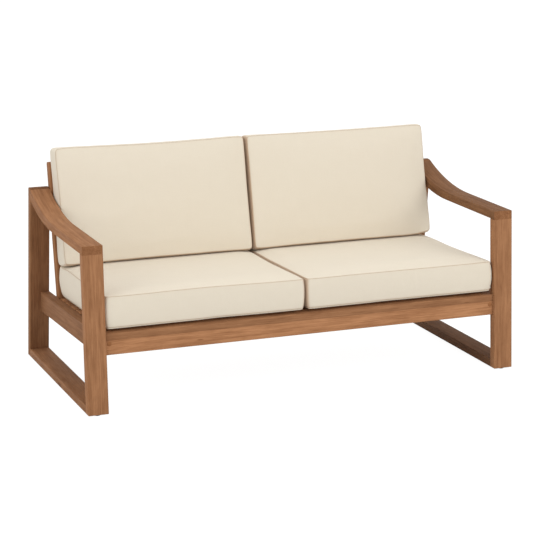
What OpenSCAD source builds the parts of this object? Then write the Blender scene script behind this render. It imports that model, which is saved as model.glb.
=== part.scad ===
// Two-seat patio bench: two sled side frames with curved arms, a raked slatted seat and back,
// and four loose cushions. Millimetres, X to the right, Y to the back, Z up.
// The origin is on the floor under the middle of the bench.

/* [Overall] */
// Width over the two side frames
bench_w = 1600; // [1300:10:2000]
// Depth over the legs at the floor
bench_d = 812; // [780:2:860]
// Height of the arms at the front
arm_h = 582; // [550:2:640]
// Height of the front rail's top edge
seat_h = 283; // [260:1:310]
// Slope of the seat down to the back, in degrees
seat_rake = 2.1; // [0:0.1:4]
// Lean of the back, in degrees
back_rake = 10.4; // [7:0.2:14]

/* [Side frames] */
// Width of the leg, arm and sled boards
side_w = 72; // [60:1:90]
// Thickness of the leg boards from front to back
leg_t = 31; // [28:1:36]
// Lean of the front legs to the back, in degrees
front_lean = 3.2; // [0:0.1:5]
// Lean of the rear legs to the front, in degrees
rear_lean = 7.1; // [5:0.1:9]
// Thickness of the sled rails on the floor
sled_t = 29; // [24:1:36]
// Thickness of an arm at its front end
arm_t = 30; // [26:1:36]
// Length of an arm's level front part
arm_flat = 344; // [300:2:380]
// Radius of the bend in an arm's top
arm_top_r = 800; // [700:10:900]
// Radius of the bend in an arm's underside
arm_under_r = 765; // [700:5:900]
// How much further back the underside starts to bend
arm_lag = 40; // [30:1:60]
// Radius of the rounding from an arm onto the top of its rear leg
leg_cap_r = 45; // [20:1:60]
// Thickness of the side rails
side_rail_t = 33; // [28:1:40]
// Height of the side rails
side_rail_h = 73; // [66:1:90]
// Diameter of a foot glide
glide_d = 22; // [16:1:26]
// Height of a foot glide
glide_t = 5; // [3:0.5:8]

/* [Seat frame] */
// Height of the front rail
front_rail_h = 75; // [68:1:90]
// Thickness of the front rail
front_rail_t = 30; // [24:1:36]
// Setback of the front rail behind the legs' front faces
rail_setback = 10; // [4:1:16]
// Height of the rear rail
rear_rail_h = 66; // [60:1:70]
// Thickness of the rear rail
rear_rail_t = 28; // [22:1:34]
// Width of the slat bearers
bearer_w = 25; // [22:1:32]
// Height of the slat bearers
bearer_h = 45; // [40:1:50]
// Width of a seat slat
slat_w = 58; // [48:1:62]
// Thickness of a seat slat
slat_t = 18; // [15:1:20]

/* [Back frame] */
// Width of a stile
stile_w = 40; // [36:1:50]
// Thickness of a stile from front to back
stile_t = 32; // [28:1:36]
// Reach of a stile above the seat, along its slope
stile_rise = 494; // [440:2:520]
// Reach of a stile below the seat, along its slope
stile_drop = 62; // [56:1:64]
// How far a stile laps over the rear leg at its upper bolt
stile_lap = 17; // [14:1:22]
// Height of a crest rail
crest_h = 60; // [50:1:70]
// Height of a back slat
back_slat_h = 45; // [36:1:54]
// Thickness of the back slats and crest rails
back_slat_t = 18; // [14:1:22]

/* [Cushions] */
// Height of a seat cushion's upper seam above the slats
seat_pad_t = 117; // [90:1:140]
// Thickness of a back cushion up to its front seam
back_pad_t = 88; // [70:1:120]
// How much thicker a back cushion is at its lower edge
back_pad_wedge = 18; // [0:1:30]
// Height of a back cushion along its slope
back_pad_h = 420; // [380:1:450]
// Rise of a cushion's crown over its seam
pad_crown = 13; // [4:1:18]
// Height of a cushion's lower seam above what it lies on
pad_seam = 8; // [5:1:12]
// Radius of a cushion's corners
pad_corner_r = 9; // [6:1:30]
// Amount that a cushion's sides are drawn in between its corners
pad_pull = 4; // [1:0.5:8]
// Swell of a cushion's sides at mid-height
pad_swell = 3; // [0:0.5:4]
// Gap between a cushion's swollen side and the side frame
pad_side_gap = 1.5; // [1:0.5:8]
// Gap between the swollen sides of the left and the right cushion
pad_mid_gap = 5; // [2:0.5:14]
// Thickness of a cover with its wadding, outside the foam
pad_wrap = 14; // [10:1:18]

/* [Fasteners] */
// Diameter of the bolts
bolt_d = 6; // [5:1:8]
// Length of a bolt between a stile and a side frame
bolt_l = 52; // [46:1:56]
// Length of the centre bearer's bolt
long_bolt_l = 100; // [90:1:120]
// Shank diameter of the rail and bearer screws
screw_d = 5; // [4:0.5:6]
// Length of the rail screws
rail_screw_l = 44; // [40:1:46]
// Length of the bearer screws
bearer_screw_l = 45; // [38:1:48]
// Shank diameter of the slat and bracket screws
thin_screw_d = 4; // [3:0.5:4.5]
// Length of the slat screws
slat_screw_l = 32; // [26:1:34]
// Length of the bracket screws
bracket_screw_l = 12; // [8:1:13]
// Diameter of a wood plug
plug_d = 16; // [12:1:20]

/* [Hidden] */
SIDES = ["left", "right"];
BACK_SLATS = 4;

// Clearances, overrun of cuts and smoothness
fit_gap = 0.2;
screw_gap = 0.05;
pad_clear = 0.4;
cut = 2;
round_n = 32;
bend_n = 16;
cap_n = 4;

// Tenons: reach past the shoulder, thickness, and the shoulders left beside them
tenon_l = 18;
tenon_t = 12;
tenon_side = 18;
rail_tenon_side = 10;
slat_tenon_l = 14;
slat_tenon_t = 9;
slat_tenon_side = 5;

// Screws, bolts and their fittings
screw_head_share = 2;
screw_tip = 4;
screw_sink = 1;
bolt_head_share = 1.7;
socket_share = 0.8;
head_play = 2;
insert_d = 10;
insert_l = 16;
nut_d = 12;
nut_l = 22;
nut_inset = 38;
plug_t = 6;
glide_inset = 20;
glide_stem_d = 8;
stem_end_gap = 1.5;
bracket_w = 26;
bracket_l = 34;
bracket_t = 2.5;

// Places of the fasteners, as shares of the board that they go through
upper_bolt_drop = 16;
lower_bolt_shares = [0.8, 0.2];
stile_screw_shares = [0.6, 0.4];
centre_screw_shares = [0.9, 0.1];
long_bolt_share = 0.55;
bearer_screw_share = 0.72;
bearer_screws_n = 4;
slat_screw_share = 0.25;
bracket_screw_share = 0.6;

// Slat and stile details
slat_end_gap = 2;
least_slat_gap = 9;
stile_round = 7;
crest_drop = 10;
first_slat = 60;

// Cushion details
pad_front = 3;
zip_l = 340;
zip_w = 9;
zip_t = 4;
slider_l = 14;

WOOD = [0.66, 0.44, 0.31];
DARK_WOOD = [0.56, 0.37, 0.26];
CLOTH = [0.89, 0.85, 0.77];
FOAM = [0.93, 0.88, 0.62];
STEEL = [0.72, 0.72, 0.70];
BRASS = [0.78, 0.62, 0.32];
BLACK = [0.08, 0.08, 0.08];

// Points in the side view are [y, z]. A line is a point and a direction.
function meet(p, u, q, v) = p + u * cross(q - p, v) / cross(u, v);
function at_height(p, u, z) = meet(p, u, [0, z], [1, 0]);
// Where a line from below first meets a circle
function hit(p, u, c, r) = let (w = p - c, b = w * u) p + u * (-b - sqrt(b * b - w * w + r * r));
function bend(c, r, end) =
    let (a = asin((end[0] - c[0]) / r))
    [for (i = [0:bend_n]) c + r * [sin(a * i / bend_n), -cos(a * i / bend_n)]];
function backwards(list) = [for (i = [len(list) - 1:-1:0]) list[i]];
function side(s) = s == "left" ? -1 : 1;

up = [0, 1];
front_dir = [sin(front_lean), cos(front_lean)];
rear_dir = [-sin(rear_lean), cos(rear_lean)];
deck_dir = [cos(seat_rake), -sin(seat_rake)];
deck_up = [sin(seat_rake), cos(seat_rake)];
back_dir = [sin(back_rake), cos(back_rake)];
back_out = [cos(back_rake), -sin(back_rake)];

half_in = bench_w / 2 - side_w;
frame_x = bench_w / 2 - side_w / 2;
rail_x = half_in + side_rail_t / 2;
bearer_x = half_in - bearer_w / 2;
stile_x = half_in - stile_w / 2;

// Legs: outer and inner lines from their lower corners
front_out = [-bench_d / 2, glide_t];
front_in = front_out + [leg_t, 0];
rear_out = [bench_d / 2, glide_t];
rear_in = rear_out - [leg_t, 0];

// Arm: level, then bent up to the rear leg
arm_front = at_height(front_out, front_dir, arm_h);
top_c = [arm_front[0] + arm_flat, arm_h + arm_top_r];
under_c = [top_c[0] + arm_lag, arm_h - arm_t + arm_under_r];
arm_top_end = hit(rear_in, rear_dir, top_c, arm_top_r);
arm_under_end = hit(rear_in, rear_dir, under_c, arm_under_r);
arm_slope = asin((arm_top_end[0] - top_c[0]) / arm_top_r);
cap_c = arm_top_end + leg_cap_r * [sin(arm_slope), -cos(arm_slope)];
leg_top = cap_c[1] + leg_cap_r;

// Seat: the top plane of the slats starts at the front rail's top edge
rail_y = at_height(front_out, front_dir, seat_h - front_rail_h / 2)[0] + rail_setback;
deck_p = [rail_y, seat_h];
rail_back = [rail_y + front_rail_t, 0];

// Back: the stiles lap over the rear legs at the upper bolts and cross the seat at back_p
lap_p = at_height(rear_in, rear_dir, leg_top - upper_bolt_drop);
back_p = meet(lap_p + [stile_lap, 0] - stile_t * back_out, back_dir, deck_p, deck_dir);
seat_d = norm(back_p - deck_p);
pitch = back_rake - seat_rake;

// Seat slats: as many as fit between the front rail and the stiles, with even gaps
deck_start = front_rail_t / cos(seat_rake);
deck_end = seat_d - slat_t * tan(pitch);
deck_room = deck_end - deck_start;
SEAT_SLATS = floor((deck_room - least_slat_gap) / (slat_w + least_slat_gap));
slat_gap = (deck_room - SEAT_SLATS * slat_w) / (SEAT_SLATS + 1);

// Back slats: even gaps from the first slat up to the crest rail
crest_z = stile_rise - crest_drop - crest_h;
back_gap = (crest_z - first_slat - BACK_SLATS * back_slat_h) / BACK_SLATS;
bay_l = half_in - stile_w - stile_w / 2;
bay_x = stile_w / 2 + bay_l / 2;

// Cushions: corner and side steps, rings of the panels and the border, shape of the crown
pad_w = half_in - pad_side_gap - pad_mid_gap / 2 - 2 * pad_swell;
pad_x = pad_mid_gap / 2 + pad_swell + pad_w / 2;
seat_pad_l = seat_d - pad_front - pad_clear;
corner_n = 4;
side_n = 8;
panel_shares = [0.25, 0.5, 0.72, 0.86, 0.94, 0.98];
height_shares = [0, 0.15, 0.5, 0.85, 1];
full_crown_share = 0.65;
full_power = 10;
under_share = 2.2;

// Placing
module profile(x, w) translate([x - w / 2, 0, 0]) rotate([90, 0, 90]) linear_extrude(w) children();
module on_deck() translate([0, deck_p[0], deck_p[1]]) rotate([-seat_rake, 0, 0]) children();
module on_back() translate([0, back_p[0], back_p[1]]) rotate([-back_rake, 0, 0]) children();
module block(x, p, size) translate([x, p[0], p[1]]) cube(size, center = true);
function grown(size, gap) = [for (v = size) v + 2 * gap];

// Side frames: the joints' middles in the side view
sled_z = glide_t + sled_t / 2;
sled_front = at_height(front_in, front_dir, sled_z);
sled_rear = at_height(rear_in, rear_dir, sled_z);
rail_mid = deck_p - side_rail_h / 2 * deck_up;
rail_low = deck_p - side_rail_h * deck_up;
rail_front = meet(front_in, front_dir, rail_mid, deck_dir);
rail_rear = meet(rear_in, rear_dir, rail_mid, deck_dir);
arm_rear = (arm_top_end + arm_under_end) / 2;
leg_head = at_height(front_out + [leg_t / 2, 0], front_dir, arm_h - arm_t);

// Tenons lie on both sides of the joint, so that they are rooted in their own board
module flat_tenon(s, p, gap) block(s * frame_x, p, grown(
    [side_w - 2 * tenon_side, 2 * tenon_l, tenon_t], gap));
module leg_tenon(s, gap) block(s * frame_x, leg_head, grown(
    [side_w - 2 * tenon_side, tenon_t, 2 * tenon_l], gap));
module rail_tenon(s, p, gap) block(s * rail_x, p, grown(
    [side_rail_t - 2 * rail_tenon_side, 2 * tenon_l, side_rail_h - 2 * tenon_side], gap));

module front_leg(s) color(WOOD) {
    difference() {
        profile(s * frame_x, side_w) polygon([front_out, front_in,
            at_height(front_in, front_dir, arm_h - arm_t),
            at_height(front_out, front_dir, arm_h - arm_t)]);
        flat_tenon(s, sled_front, fit_gap);
        rail_tenon(s, rail_front, fit_gap);
        glide_stem(s, front_glide_y, screw_gap);
    }
    leg_tenon(s, 0);
}

module rear_leg(s) color(WOOD) difference() {
    profile(s * frame_x, side_w) polygon(concat([rear_in, rear_out, at_height(rear_out, rear_dir, leg_top)],
        [for (i = [0:cap_n]) cap_c + leg_cap_r * [-sin(arm_slope * i / cap_n), cos(arm_slope * i / cap_n)]]));
    flat_tenon(s, sled_rear, fit_gap);
    rail_tenon(s, rail_rear, fit_gap);
    flat_tenon(s, arm_rear, fit_gap);
    glide_stem(s, rear_glide_y, screw_gap);
    insert_place(s, upper_bolt) insert_body(cut);
}

module arm(s) color(WOOD) difference() {
    union() {
        profile(s * frame_x, side_w) polygon(concat([arm_front],
            bend(top_c, arm_top_r, arm_top_end), backwards(bend(under_c, arm_under_r, arm_under_end)),
            [at_height(front_out, front_dir, arm_h - arm_t)]));
        flat_tenon(s, arm_rear, 0);
    }
    leg_tenon(s, fit_gap);
}

module sled_rail(s) color(WOOD) {
    profile(s * frame_x, side_w) polygon([front_in, rear_in,
        at_height(rear_in, rear_dir, glide_t + sled_t),
        at_height(front_in, front_dir, glide_t + sled_t)]);
    flat_tenon(s, sled_front, 0);
    flat_tenon(s, sled_rear, 0);
}

module side_rail(s) color(WOOD) difference() {
    union() {
        profile(s * rail_x, side_rail_t) polygon([
            meet(front_in, front_dir, rail_low, deck_dir), meet(rear_in, rear_dir, rail_low, deck_dir),
            meet(rear_in, rear_dir, deck_p, deck_dir), meet(front_in, front_dir, deck_p, deck_dir)]);
        rail_tenon(s, rail_front, 0);
        rail_tenon(s, rail_rear, 0);
    }
    for (p = lower_bolts) insert_place(s, p) insert_body(cut);
    bearer_fixings(s) screw_hole(bearer_screw_l, screw_d);
}

// Seat frame: the rails, and bearers that lie one slat below the seat
bearer_top = deck_p - slat_t * deck_up;
bearer_low = bearer_top - bearer_h * deck_up;

module front_rail() color(WOOD) difference() {
    profile(0, 2 * half_in) polygon([deck_p - front_rail_h * up, deck_p + [front_rail_t, -front_rail_h],
        meet(rail_back, up, deck_p, deck_dir), deck_p]);
    for (s = [-1, 1]) {
        rail_fixing(s) plug_body(cut);
        rail_fixing(s) screw_hole(rail_screw_l, screw_d);
    }
    bracket_fixings() screw_hole(bracket_screw_l, thin_screw_d);
}

module rear_rail() color(DARK_WOOD) difference() {
    on_back() translate([-half_in, stile_t, -stile_drop]) cube([2 * half_in, rear_rail_t, rear_rail_h]);
    stile_fixings() screw_hole(rail_screw_l, screw_d);
    long_bolt_place() bolt_hole(long_bolt_l);
}

module bearer_board(x) profile(x, bearer_w) polygon([
    meet(rail_back, up, bearer_low, deck_dir), meet(back_p, back_dir, bearer_low, deck_dir),
    meet(back_p, back_dir, bearer_top, deck_dir), meet(rail_back, up, bearer_top, deck_dir)]);

module slat_bearer(s) color(DARK_WOOD) difference() {
    bearer_board(s * bearer_x);
    slat_fixings(s * bearer_x) screw_hole(slat_screw_l, thin_screw_d);
    bearer_fixings(s) screw_hole(bearer_screw_l, screw_d);
    rail_fixing(s) screw_hole(rail_screw_l, screw_d);
}

module centre_bearer() color(DARK_WOOD) difference() {
    bearer_board(0);
    slat_fixings(0) screw_hole(slat_screw_l, thin_screw_d);
    bracket_fixings() screw_hole(bracket_screw_l, thin_screw_d);
    long_bolt_place() bolt_hole(long_bolt_l);
    nut_body();
}

function seat_slat_y(i) = deck_start + slat_gap + (i - 1) * (slat_w + slat_gap);

module seat_slat(i) color(WOOD) difference() {
    on_deck() translate([slat_end_gap - half_in, seat_slat_y(i), -slat_t])
        cube([2 * (half_in - slat_end_gap), slat_w, slat_t]);
    for (x = [-bearer_x, 0, bearer_x]) slat_fixing(i, x) screw_hole(slat_screw_l, thin_screw_d);
}

// Back frame: stiles with rounded tops, and slats that are tenoned between them
function back_slat_z(i) = first_slat + (i - 1) * (back_slat_h + back_gap);

module stile_board(x) {
    high = stile_rise - stile_round;
    on_back() profile(x, stile_w) polygon(concat([[0, -stile_drop], [stile_t, -stile_drop]],
        arc([stile_t - stile_round, high], stile_round, 0), arc([stile_round, high], stile_round, 90)));
}

module cross_board(s, z, h, gap) on_back() {
    translate([s * bay_x - bay_l / 2, 0, z]) cube([bay_l, back_slat_t, h]);
    translate([s * bay_x, back_slat_t / 2, z + h / 2]) cube(grown(
        [bay_l + 2 * slat_tenon_l, slat_tenon_t, h - 2 * slat_tenon_side], gap), center = true);
}

module mortises(s) {
    for (i = [1:BACK_SLATS]) cross_board(s, back_slat_z(i), back_slat_h, fit_gap);
    cross_board(s, crest_z, crest_h, fit_gap);
}

module back_stile(s) color(WOOD) difference() {
    stile_board(s * stile_x);
    mortises(s);
    for (p = stile_bolts) bolt_place(s, p) bolt_hole(bolt_l);
    stile_fixings() screw_hole(rail_screw_l, screw_d);
}

module centre_stile() color(WOOD) difference() {
    stile_board(0);
    mortises(-1);
    mortises(1);
    stile_fixings() screw_hole(rail_screw_l, screw_d);
    long_bolt_place() bolt_hole(long_bolt_l);
}

module crest_rail(s) color(WOOD) cross_board(s, crest_z, crest_h, 0);
module back_slat(s, i) color(WOOD) cross_board(s, back_slat_z(i), back_slat_h, 0);

// Fasteners: each points along -Z from the top of its head
module screw_body(l, d, gap) rotate_extrude($fn = round_n) polygon([
    [0, -l - gap], [d / 2 + gap, screw_tip - l - gap], [d / 2 + gap, d / 2 * (1 - screw_head_share)],
    [d / 2 * screw_head_share + gap, 0], [0, 0]]);

module screw(l, d) difference() {
    screw_body(l, d, 0);
    translate([0, 0, -d / 4]) cylinder(h = d / 2, d = d * socket_share, $fn = 6);
}

module screw_hole(l, d) {
    screw_body(l, d, screw_gap);
    translate([0, 0, -screw_gap])
        cylinder(h = plug_t + cut, d = d * screw_head_share + 2 * screw_gap, $fn = round_n);
}

module bolt(l) difference() {
    union() {
        translate([0, 0, -l]) cylinder(h = l, d = bolt_d, $fn = round_n);
        translate([0, 0, -bolt_d]) cylinder(h = bolt_d, d = bolt_d * bolt_head_share, $fn = round_n);
    }
    translate([0, 0, -bolt_d / 2]) cylinder(h = bolt_d, d = bolt_d * socket_share, $fn = 6);
}

module bolt_hole(l) {
    translate([0, 0, -l]) cylinder(h = l, d = bolt_d + 2 * screw_gap, $fn = round_n);
    translate([0, 0, -bolt_d])
        cylinder(h = bolt_d + cut, d = bolt_d * bolt_head_share + head_play, $fn = round_n);
}

// Stile bolts: places are [depth, height] in the back frame
function in_back(p) = [(p - back_p) * back_out, (p - back_p) * back_dir];
lower_bolts = [for (f = lower_bolt_shares) [stile_t / 2, -stile_drop * f]];
upper_bolt = in_back(lap_p + [stile_lap / 2, 0]);
stile_bolts = concat(lower_bolts, [upper_bolt]);

module bolt_place(s, p) on_back()
    translate([s * (half_in - stile_w), p[0], p[1]]) rotate([0, -s * 90, 0]) children();
module insert_place(s, p) on_back()
    translate([s * half_in, p[0], p[1]]) rotate([0, s * 90, 0]) children();
module insert_body(over) translate([0, 0, -over]) cylinder(h = insert_l + over, d = insert_d, $fn = round_n);

module frame_bolts() color(STEEL) for (s = [-1, 1]) for (p = stile_bolts) bolt_place(s, p) bolt(bolt_l);

module frame_inserts() color(BRASS) for (s = [-1, 1]) for (p = stile_bolts) insert_place(s, p) difference() {
    insert_body(0);
    translate([0, 0, -cut]) cylinder(h = insert_l + 2 * cut, d = bolt_d + 2 * screw_gap, $fn = round_n);
}

// The centre bearer's bolt goes through the rear rail and the centre stile into a cross dowel nut
long_bolt_z = -slat_t - bearer_h * long_bolt_share;
module long_bolt_place() on_back()
    translate([0, stile_t + rear_rail_t, long_bolt_z]) rotate([-90, 0, 0]) children();
module nut_body() on_back() translate([-nut_l / 2, -nut_inset, long_bolt_z]) rotate([0, 90, 0])
    cylinder(h = nut_l, d = nut_d, $fn = round_n);
module bearer_bolt() color(STEEL) long_bolt_place() bolt(long_bolt_l);
module bearer_nut() color(STEEL) difference() {
    nut_body();
    long_bolt_place() bolt_hole(long_bolt_l);
}

// Places of the wood screws
module slat_fixing(i, x) on_deck() for (f = [slat_screw_share, 1 - slat_screw_share])
    translate([x, seat_slat_y(i) + slat_w * f, -screw_sink]) children();
module slat_fixings(x) for (i = [1:SEAT_SLATS]) slat_fixing(i, x) children();
bearer_pitch = deck_room / bearer_screws_n;
module bearer_fixings(s) on_deck() for (k = [1:bearer_screws_n])
    translate([s * (half_in - bearer_w + screw_sink), deck_start + bearer_pitch * (k - 0.5),
        -slat_t - bearer_h * bearer_screw_share]) rotate([0, -s * 90, 0]) children();
module rail_fixing(s) translate([s * bearer_x, rail_y + plug_t, bracket_z]) rotate([90, 0, 0]) children();
module stile_fixings() on_back() for (x = [-stile_x, 0, stile_x])
    for (f = x == 0 ? centre_screw_shares : stile_screw_shares)
        translate([x, stile_t + rear_rail_t - screw_sink, -stile_drop * f]) rotate([-90, 0, 0]) children();
module plug_body(over) cylinder(h = plug_t + over, d = plug_d, $fn = round_n);

module slat_screws() color(STEEL) for (x = [-bearer_x, 0, bearer_x])
    slat_fixings(x) screw(slat_screw_l, thin_screw_d);
module rail_screws() color(STEEL) {
    for (s = [-1, 1]) rail_fixing(s) screw(rail_screw_l, screw_d);
    stile_fixings() screw(rail_screw_l, screw_d);
}
module bearer_screws() color(STEEL) for (s = [-1, 1]) bearer_fixings(s) screw(bearer_screw_l, screw_d);
module wood_plugs() color(DARK_WOOD) for (s = [-1, 1]) rail_fixing(s) plug_body(0);

// Angle brackets between the centre bearer and the front rail
bracket_z = seat_h - slat_t - bearer_h / 2;
module bracket_place(s) translate([s * bearer_w / 2, rail_back[0], bracket_z])
    mirror([s < 0 ? 1 : 0, 0, 0]) children();
module bracket_fixings() for (s = [-1, 1]) for (z = [-bracket_w / 4, bracket_w / 4]) bracket_place(s) {
    translate([bracket_t, bracket_l * bracket_screw_share, z]) rotate([0, 90, 0]) children();
    translate([bracket_l * bracket_screw_share, bracket_t, z]) rotate([-90, 0, 0]) children();
}
module corner_brackets() color(STEEL) difference() {
    for (s = [-1, 1]) bracket_place(s) translate([0, 0, -bracket_w / 2]) {
        cube([bracket_t, bracket_l, bracket_w]);
        cube([bracket_l, bracket_t, bracket_w]);
    }
    bracket_fixings() screw_hole(bracket_screw_l, thin_screw_d);
}
module bracket_screws() color(STEEL) bracket_fixings() screw(bracket_screw_l, thin_screw_d);

// Glides push into the ends of the legs, below the sled rails' tenons
front_glide_y = front_out[0] + glide_inset;
rear_glide_y = rear_out[0] - glide_inset;
glide_stem_l = (sled_t - tenon_t) / 2 - stem_end_gap;
module glide_stem(s, y, gap) translate([s * frame_x, y, glide_t - cut])
    cylinder(h = glide_stem_l + cut + gap, d = glide_stem_d + 2 * gap, $fn = round_n);
module foot_glides() color(BLACK) for (s = [-1, 1]) for (y = [front_glide_y, rear_glide_y]) {
    translate([s * frame_x, y, 0])
        cylinder(h = glide_t, d1 = glide_d - glide_t / 2, d2 = glide_d, $fn = round_n);
    glide_stem(s, y, 0);
}

// Cushions: a rounded outline with drawn-in sides, a swollen border and crowned panels
function arc(c, r, a) = [for (i = [0:corner_n]) let (t = a + 90 * i / corner_n) c + r * [cos(t), sin(t)]];
function run(p, q) = [for (i = [1:side_n - 1]) p + (q - p) * i / side_n];
function outline(a, b, r) = concat(
    arc([a - r, r - b], r, -90), run([a, r - b], [a, b - r]),
    arc([a - r, b - r], r, 0), run([a - r, b], [r - a, b]),
    arc([r - a, b - r], r, 90), run([-a, b - r], [-a, r - b]),
    arc([r - a, r - b], r, 180), run([r - a, -b], [a - r, -b]));
function drawn_in(p, a, b) = [
    p[0] * (1 - pad_pull / a * (1 - pow(p[1] / b, 2))),
    p[1] * (1 - pad_pull / b * (1 - pow(p[0] / a, 2)))];
function puff(p, a, b, n) = max(0, 1 - pow(abs(p[0] / a), n)) * max(0, 1 - pow(abs(p[1] / b), n));
function seam_z(y, b, t, wedge) = t + wedge * (1 + y / b) / 2;
function crown(p, a, b) = pad_crown
    * (full_crown_share * puff(p, a, b, full_power) + (1 - full_crown_share) * puff(p, a, b, 2));
function under_z(p, a, b) = max(pad_clear, pad_seam * (1 - under_share * puff(p, a, b, full_power)));
function border_out(h) = 4 * pad_swell * h * (1 - h);

module cushion_form(w, l, t, wedge) {
    a = w / 2;
    b = l / 2;
    rim = [for (p = outline(a, b, pad_corner_r)) drawn_in(p, a, b)];
    n = len(rim);
    points = concat([[0, 0, pad_clear]],
        [for (f = panel_shares) for (p = rim) [p[0] * f, p[1] * f, under_z(p * f, a, b)]],
        [for (h = height_shares) for (p = rim) [p[0] * (1 + border_out(h) / a),
            p[1] * (1 + border_out(h) / b), pad_seam + (seam_z(p[1], b, t, wedge) - pad_seam) * h]],
        [for (f = backwards(panel_shares)) for (p = rim)
            [p[0] * f, p[1] * f, seam_z(p[1] * f, b, t, wedge) + crown(p * f, a, b)]],
        [[0, 0, seam_z(0, b, t, wedge) + pad_crown]]);
    rings = 2 * len(panel_shares) + len(height_shares);
    last = len(points) - 1;
    polyhedron(points, concat(
        [for (i = [0:n - 1]) [0, 1 + i, 1 + (i + 1) % n]],
        [for (k = [0:rings - 2]) for (i = [0:n - 1]) let (j = (i + 1) % n, q = 1 + k * n)
            each [[q + i, q + n + i, q + n + j], [q + i, q + n + j, q + j]]],
        [for (i = [0:n - 1]) [last - n + i, last, last - n + (i + 1) % n]]), convexity = 4);
}

module foam_block(w, l, t, gap) translate([0, 0, (t + pad_crown / 2) / 2])
    cube(grown([w - 2 * pad_wrap, l - 2 * pad_wrap, t + pad_crown / 2 - 2 * pad_wrap], gap), center = true);

// The zip lies in the border of the side that faces +Y, with its slider on the strip
zip_out = (zip_t * 1.5 - pad_pull) / 2;
module zip_strip(l, t, gap) {
    y = (l - pad_pull) / 2;
    translate([0, y, t / 2]) cube(grown([zip_l, zip_t, zip_w], gap), center = true);
    translate([zip_l / 2 - slider_l, y + zip_t / 2, t / 2])
        cube(grown([slider_l, zip_t / 2, zip_w / 2], gap), center = true);
}

module cushion_cover(w, l, t, wedge) difference() {
    cushion_form(w, l, t, wedge);
    foam_block(w, l, t, fit_gap);
    zip_strip(l, t, fit_gap);
}

// The back cushion stands clear of the seat cushion's crown, measured from its own lower corners
stand_shares = [0, 0.2, 0.4, 0.6, 0.8, 0.9, 1];
function stand_z(x, h) =
    let (d = pad_seam + (back_pad_t + back_pad_wedge - pad_seam) * h, z = seat_pad_t / cos(pitch),
        low = max(border_out(h), zip_out),
        y = seat_d - d * cos(pitch) + (z - low) * sin(pitch) - pad_front - seat_pad_l / 2)
    (seat_pad_t + crown([x, y], pad_w / 2, seat_pad_l / 2) + pad_clear - d * sin(pitch)) / cos(pitch) + low;
back_pad_z = max([for (f = stand_shares) for (h = stand_shares) stand_z(f * pad_w / 2, h)]);

module at_seat(s) on_deck() translate([s * pad_x, pad_front + seat_pad_l / 2, 0]) children();
module at_back(s) on_back() translate([s * pad_x, 0, back_pad_z + back_pad_h / 2]) rotate([90, 0, 0])
    rotate([0, 0, 180]) children();

module seat_cover(s) color(CLOTH) at_seat(s) cushion_cover(pad_w, seat_pad_l, seat_pad_t, 0);
module seat_foam(s) color(FOAM) at_seat(s) foam_block(pad_w, seat_pad_l, seat_pad_t, 0);
module seat_zip(s) color(CLOTH) at_seat(s) zip_strip(seat_pad_l, seat_pad_t, 0);
module back_cover(s) color(CLOTH) at_back(s) cushion_cover(pad_w, back_pad_h, back_pad_t, back_pad_wedge);
module back_foam(s) color(FOAM) at_back(s) foam_block(pad_w, back_pad_h, back_pad_t, 0);
module back_zip(s) color(CLOTH) at_back(s) zip_strip(back_pad_h, back_pad_t, 0);

for (s = SIDES) {
    front_leg(side(s));
    rear_leg(side(s));
    arm(side(s));
    sled_rail(side(s));
    side_rail(side(s));
    slat_bearer(side(s));
    back_stile(side(s));
    crest_rail(side(s));
    seat_cover(side(s));
    seat_foam(side(s));
    seat_zip(side(s));
    back_cover(side(s));
    back_foam(side(s));
    back_zip(side(s));
}
for (s = SIDES) for (i = [1:BACK_SLATS])
    back_slat(side(s), i);
for (i = [1:SEAT_SLATS]) seat_slat(i);
front_rail();
rear_rail();
centre_bearer();
centre_stile();
wood_plugs();
foot_glides();
slat_screws();
rail_screws();
bearer_screws();
bracket_screws();
frame_bolts();
frame_inserts();
bearer_bolt();
bearer_nut();
corner_brackets();
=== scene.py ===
"""Patio bench: the looks of a two-seat hardwood bench with loose cushions, round its CAD frame.

Metres, X to the right, Y to the back, Z up, with the floor at Z = 0.
"""
import functools
import math

import bmesh
import bpy
import numpy as np
from bpy.props import FloatProperty, FloatVectorProperty, IntProperty, PointerProperty
from mathutils import Matrix, Vector, noise
from mathutils.bvhtree import BVHTree


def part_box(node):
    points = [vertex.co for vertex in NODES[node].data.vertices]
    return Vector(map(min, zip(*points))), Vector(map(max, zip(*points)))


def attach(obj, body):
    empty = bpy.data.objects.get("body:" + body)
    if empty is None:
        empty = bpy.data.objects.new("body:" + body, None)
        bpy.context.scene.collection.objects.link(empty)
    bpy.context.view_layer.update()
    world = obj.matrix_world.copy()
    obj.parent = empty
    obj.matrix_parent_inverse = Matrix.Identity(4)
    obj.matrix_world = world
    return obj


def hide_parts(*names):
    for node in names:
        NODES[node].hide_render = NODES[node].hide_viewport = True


bl_info = {
    "name": "Patio Bench",
    "version": (1, 0, 0),
    "blender": (4, 5, 0),
    "location": "3D View > Sidebar > Bench",
    "description": "Dresses the CAD frame of a hardwood patio bench with loose cushions",
    "category": "Object",
}

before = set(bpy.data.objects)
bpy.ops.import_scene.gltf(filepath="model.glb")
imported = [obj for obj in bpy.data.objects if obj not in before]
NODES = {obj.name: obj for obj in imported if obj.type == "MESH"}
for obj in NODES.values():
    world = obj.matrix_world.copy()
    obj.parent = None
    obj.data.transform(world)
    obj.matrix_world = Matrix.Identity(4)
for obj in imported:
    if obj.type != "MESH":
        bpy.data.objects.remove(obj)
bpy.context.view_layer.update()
SIDES = ("left", "right")
MM = 0.001

# Slopes of the real pieces, in degrees
FRONT_LEAN, REAR_LEAN, SEAT_RAKE, BACK_RAKE = 3.2, 7.1, 2.1, 10.4


# ---------------------------------------------------------------- settings

def number(name, text, default, **limits):
    return FloatProperty(name=name, description=text, default=default, **limits)


def length(name, text, default):
    return number(name, text, default, min=0, unit="LENGTH", precision=5)


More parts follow.
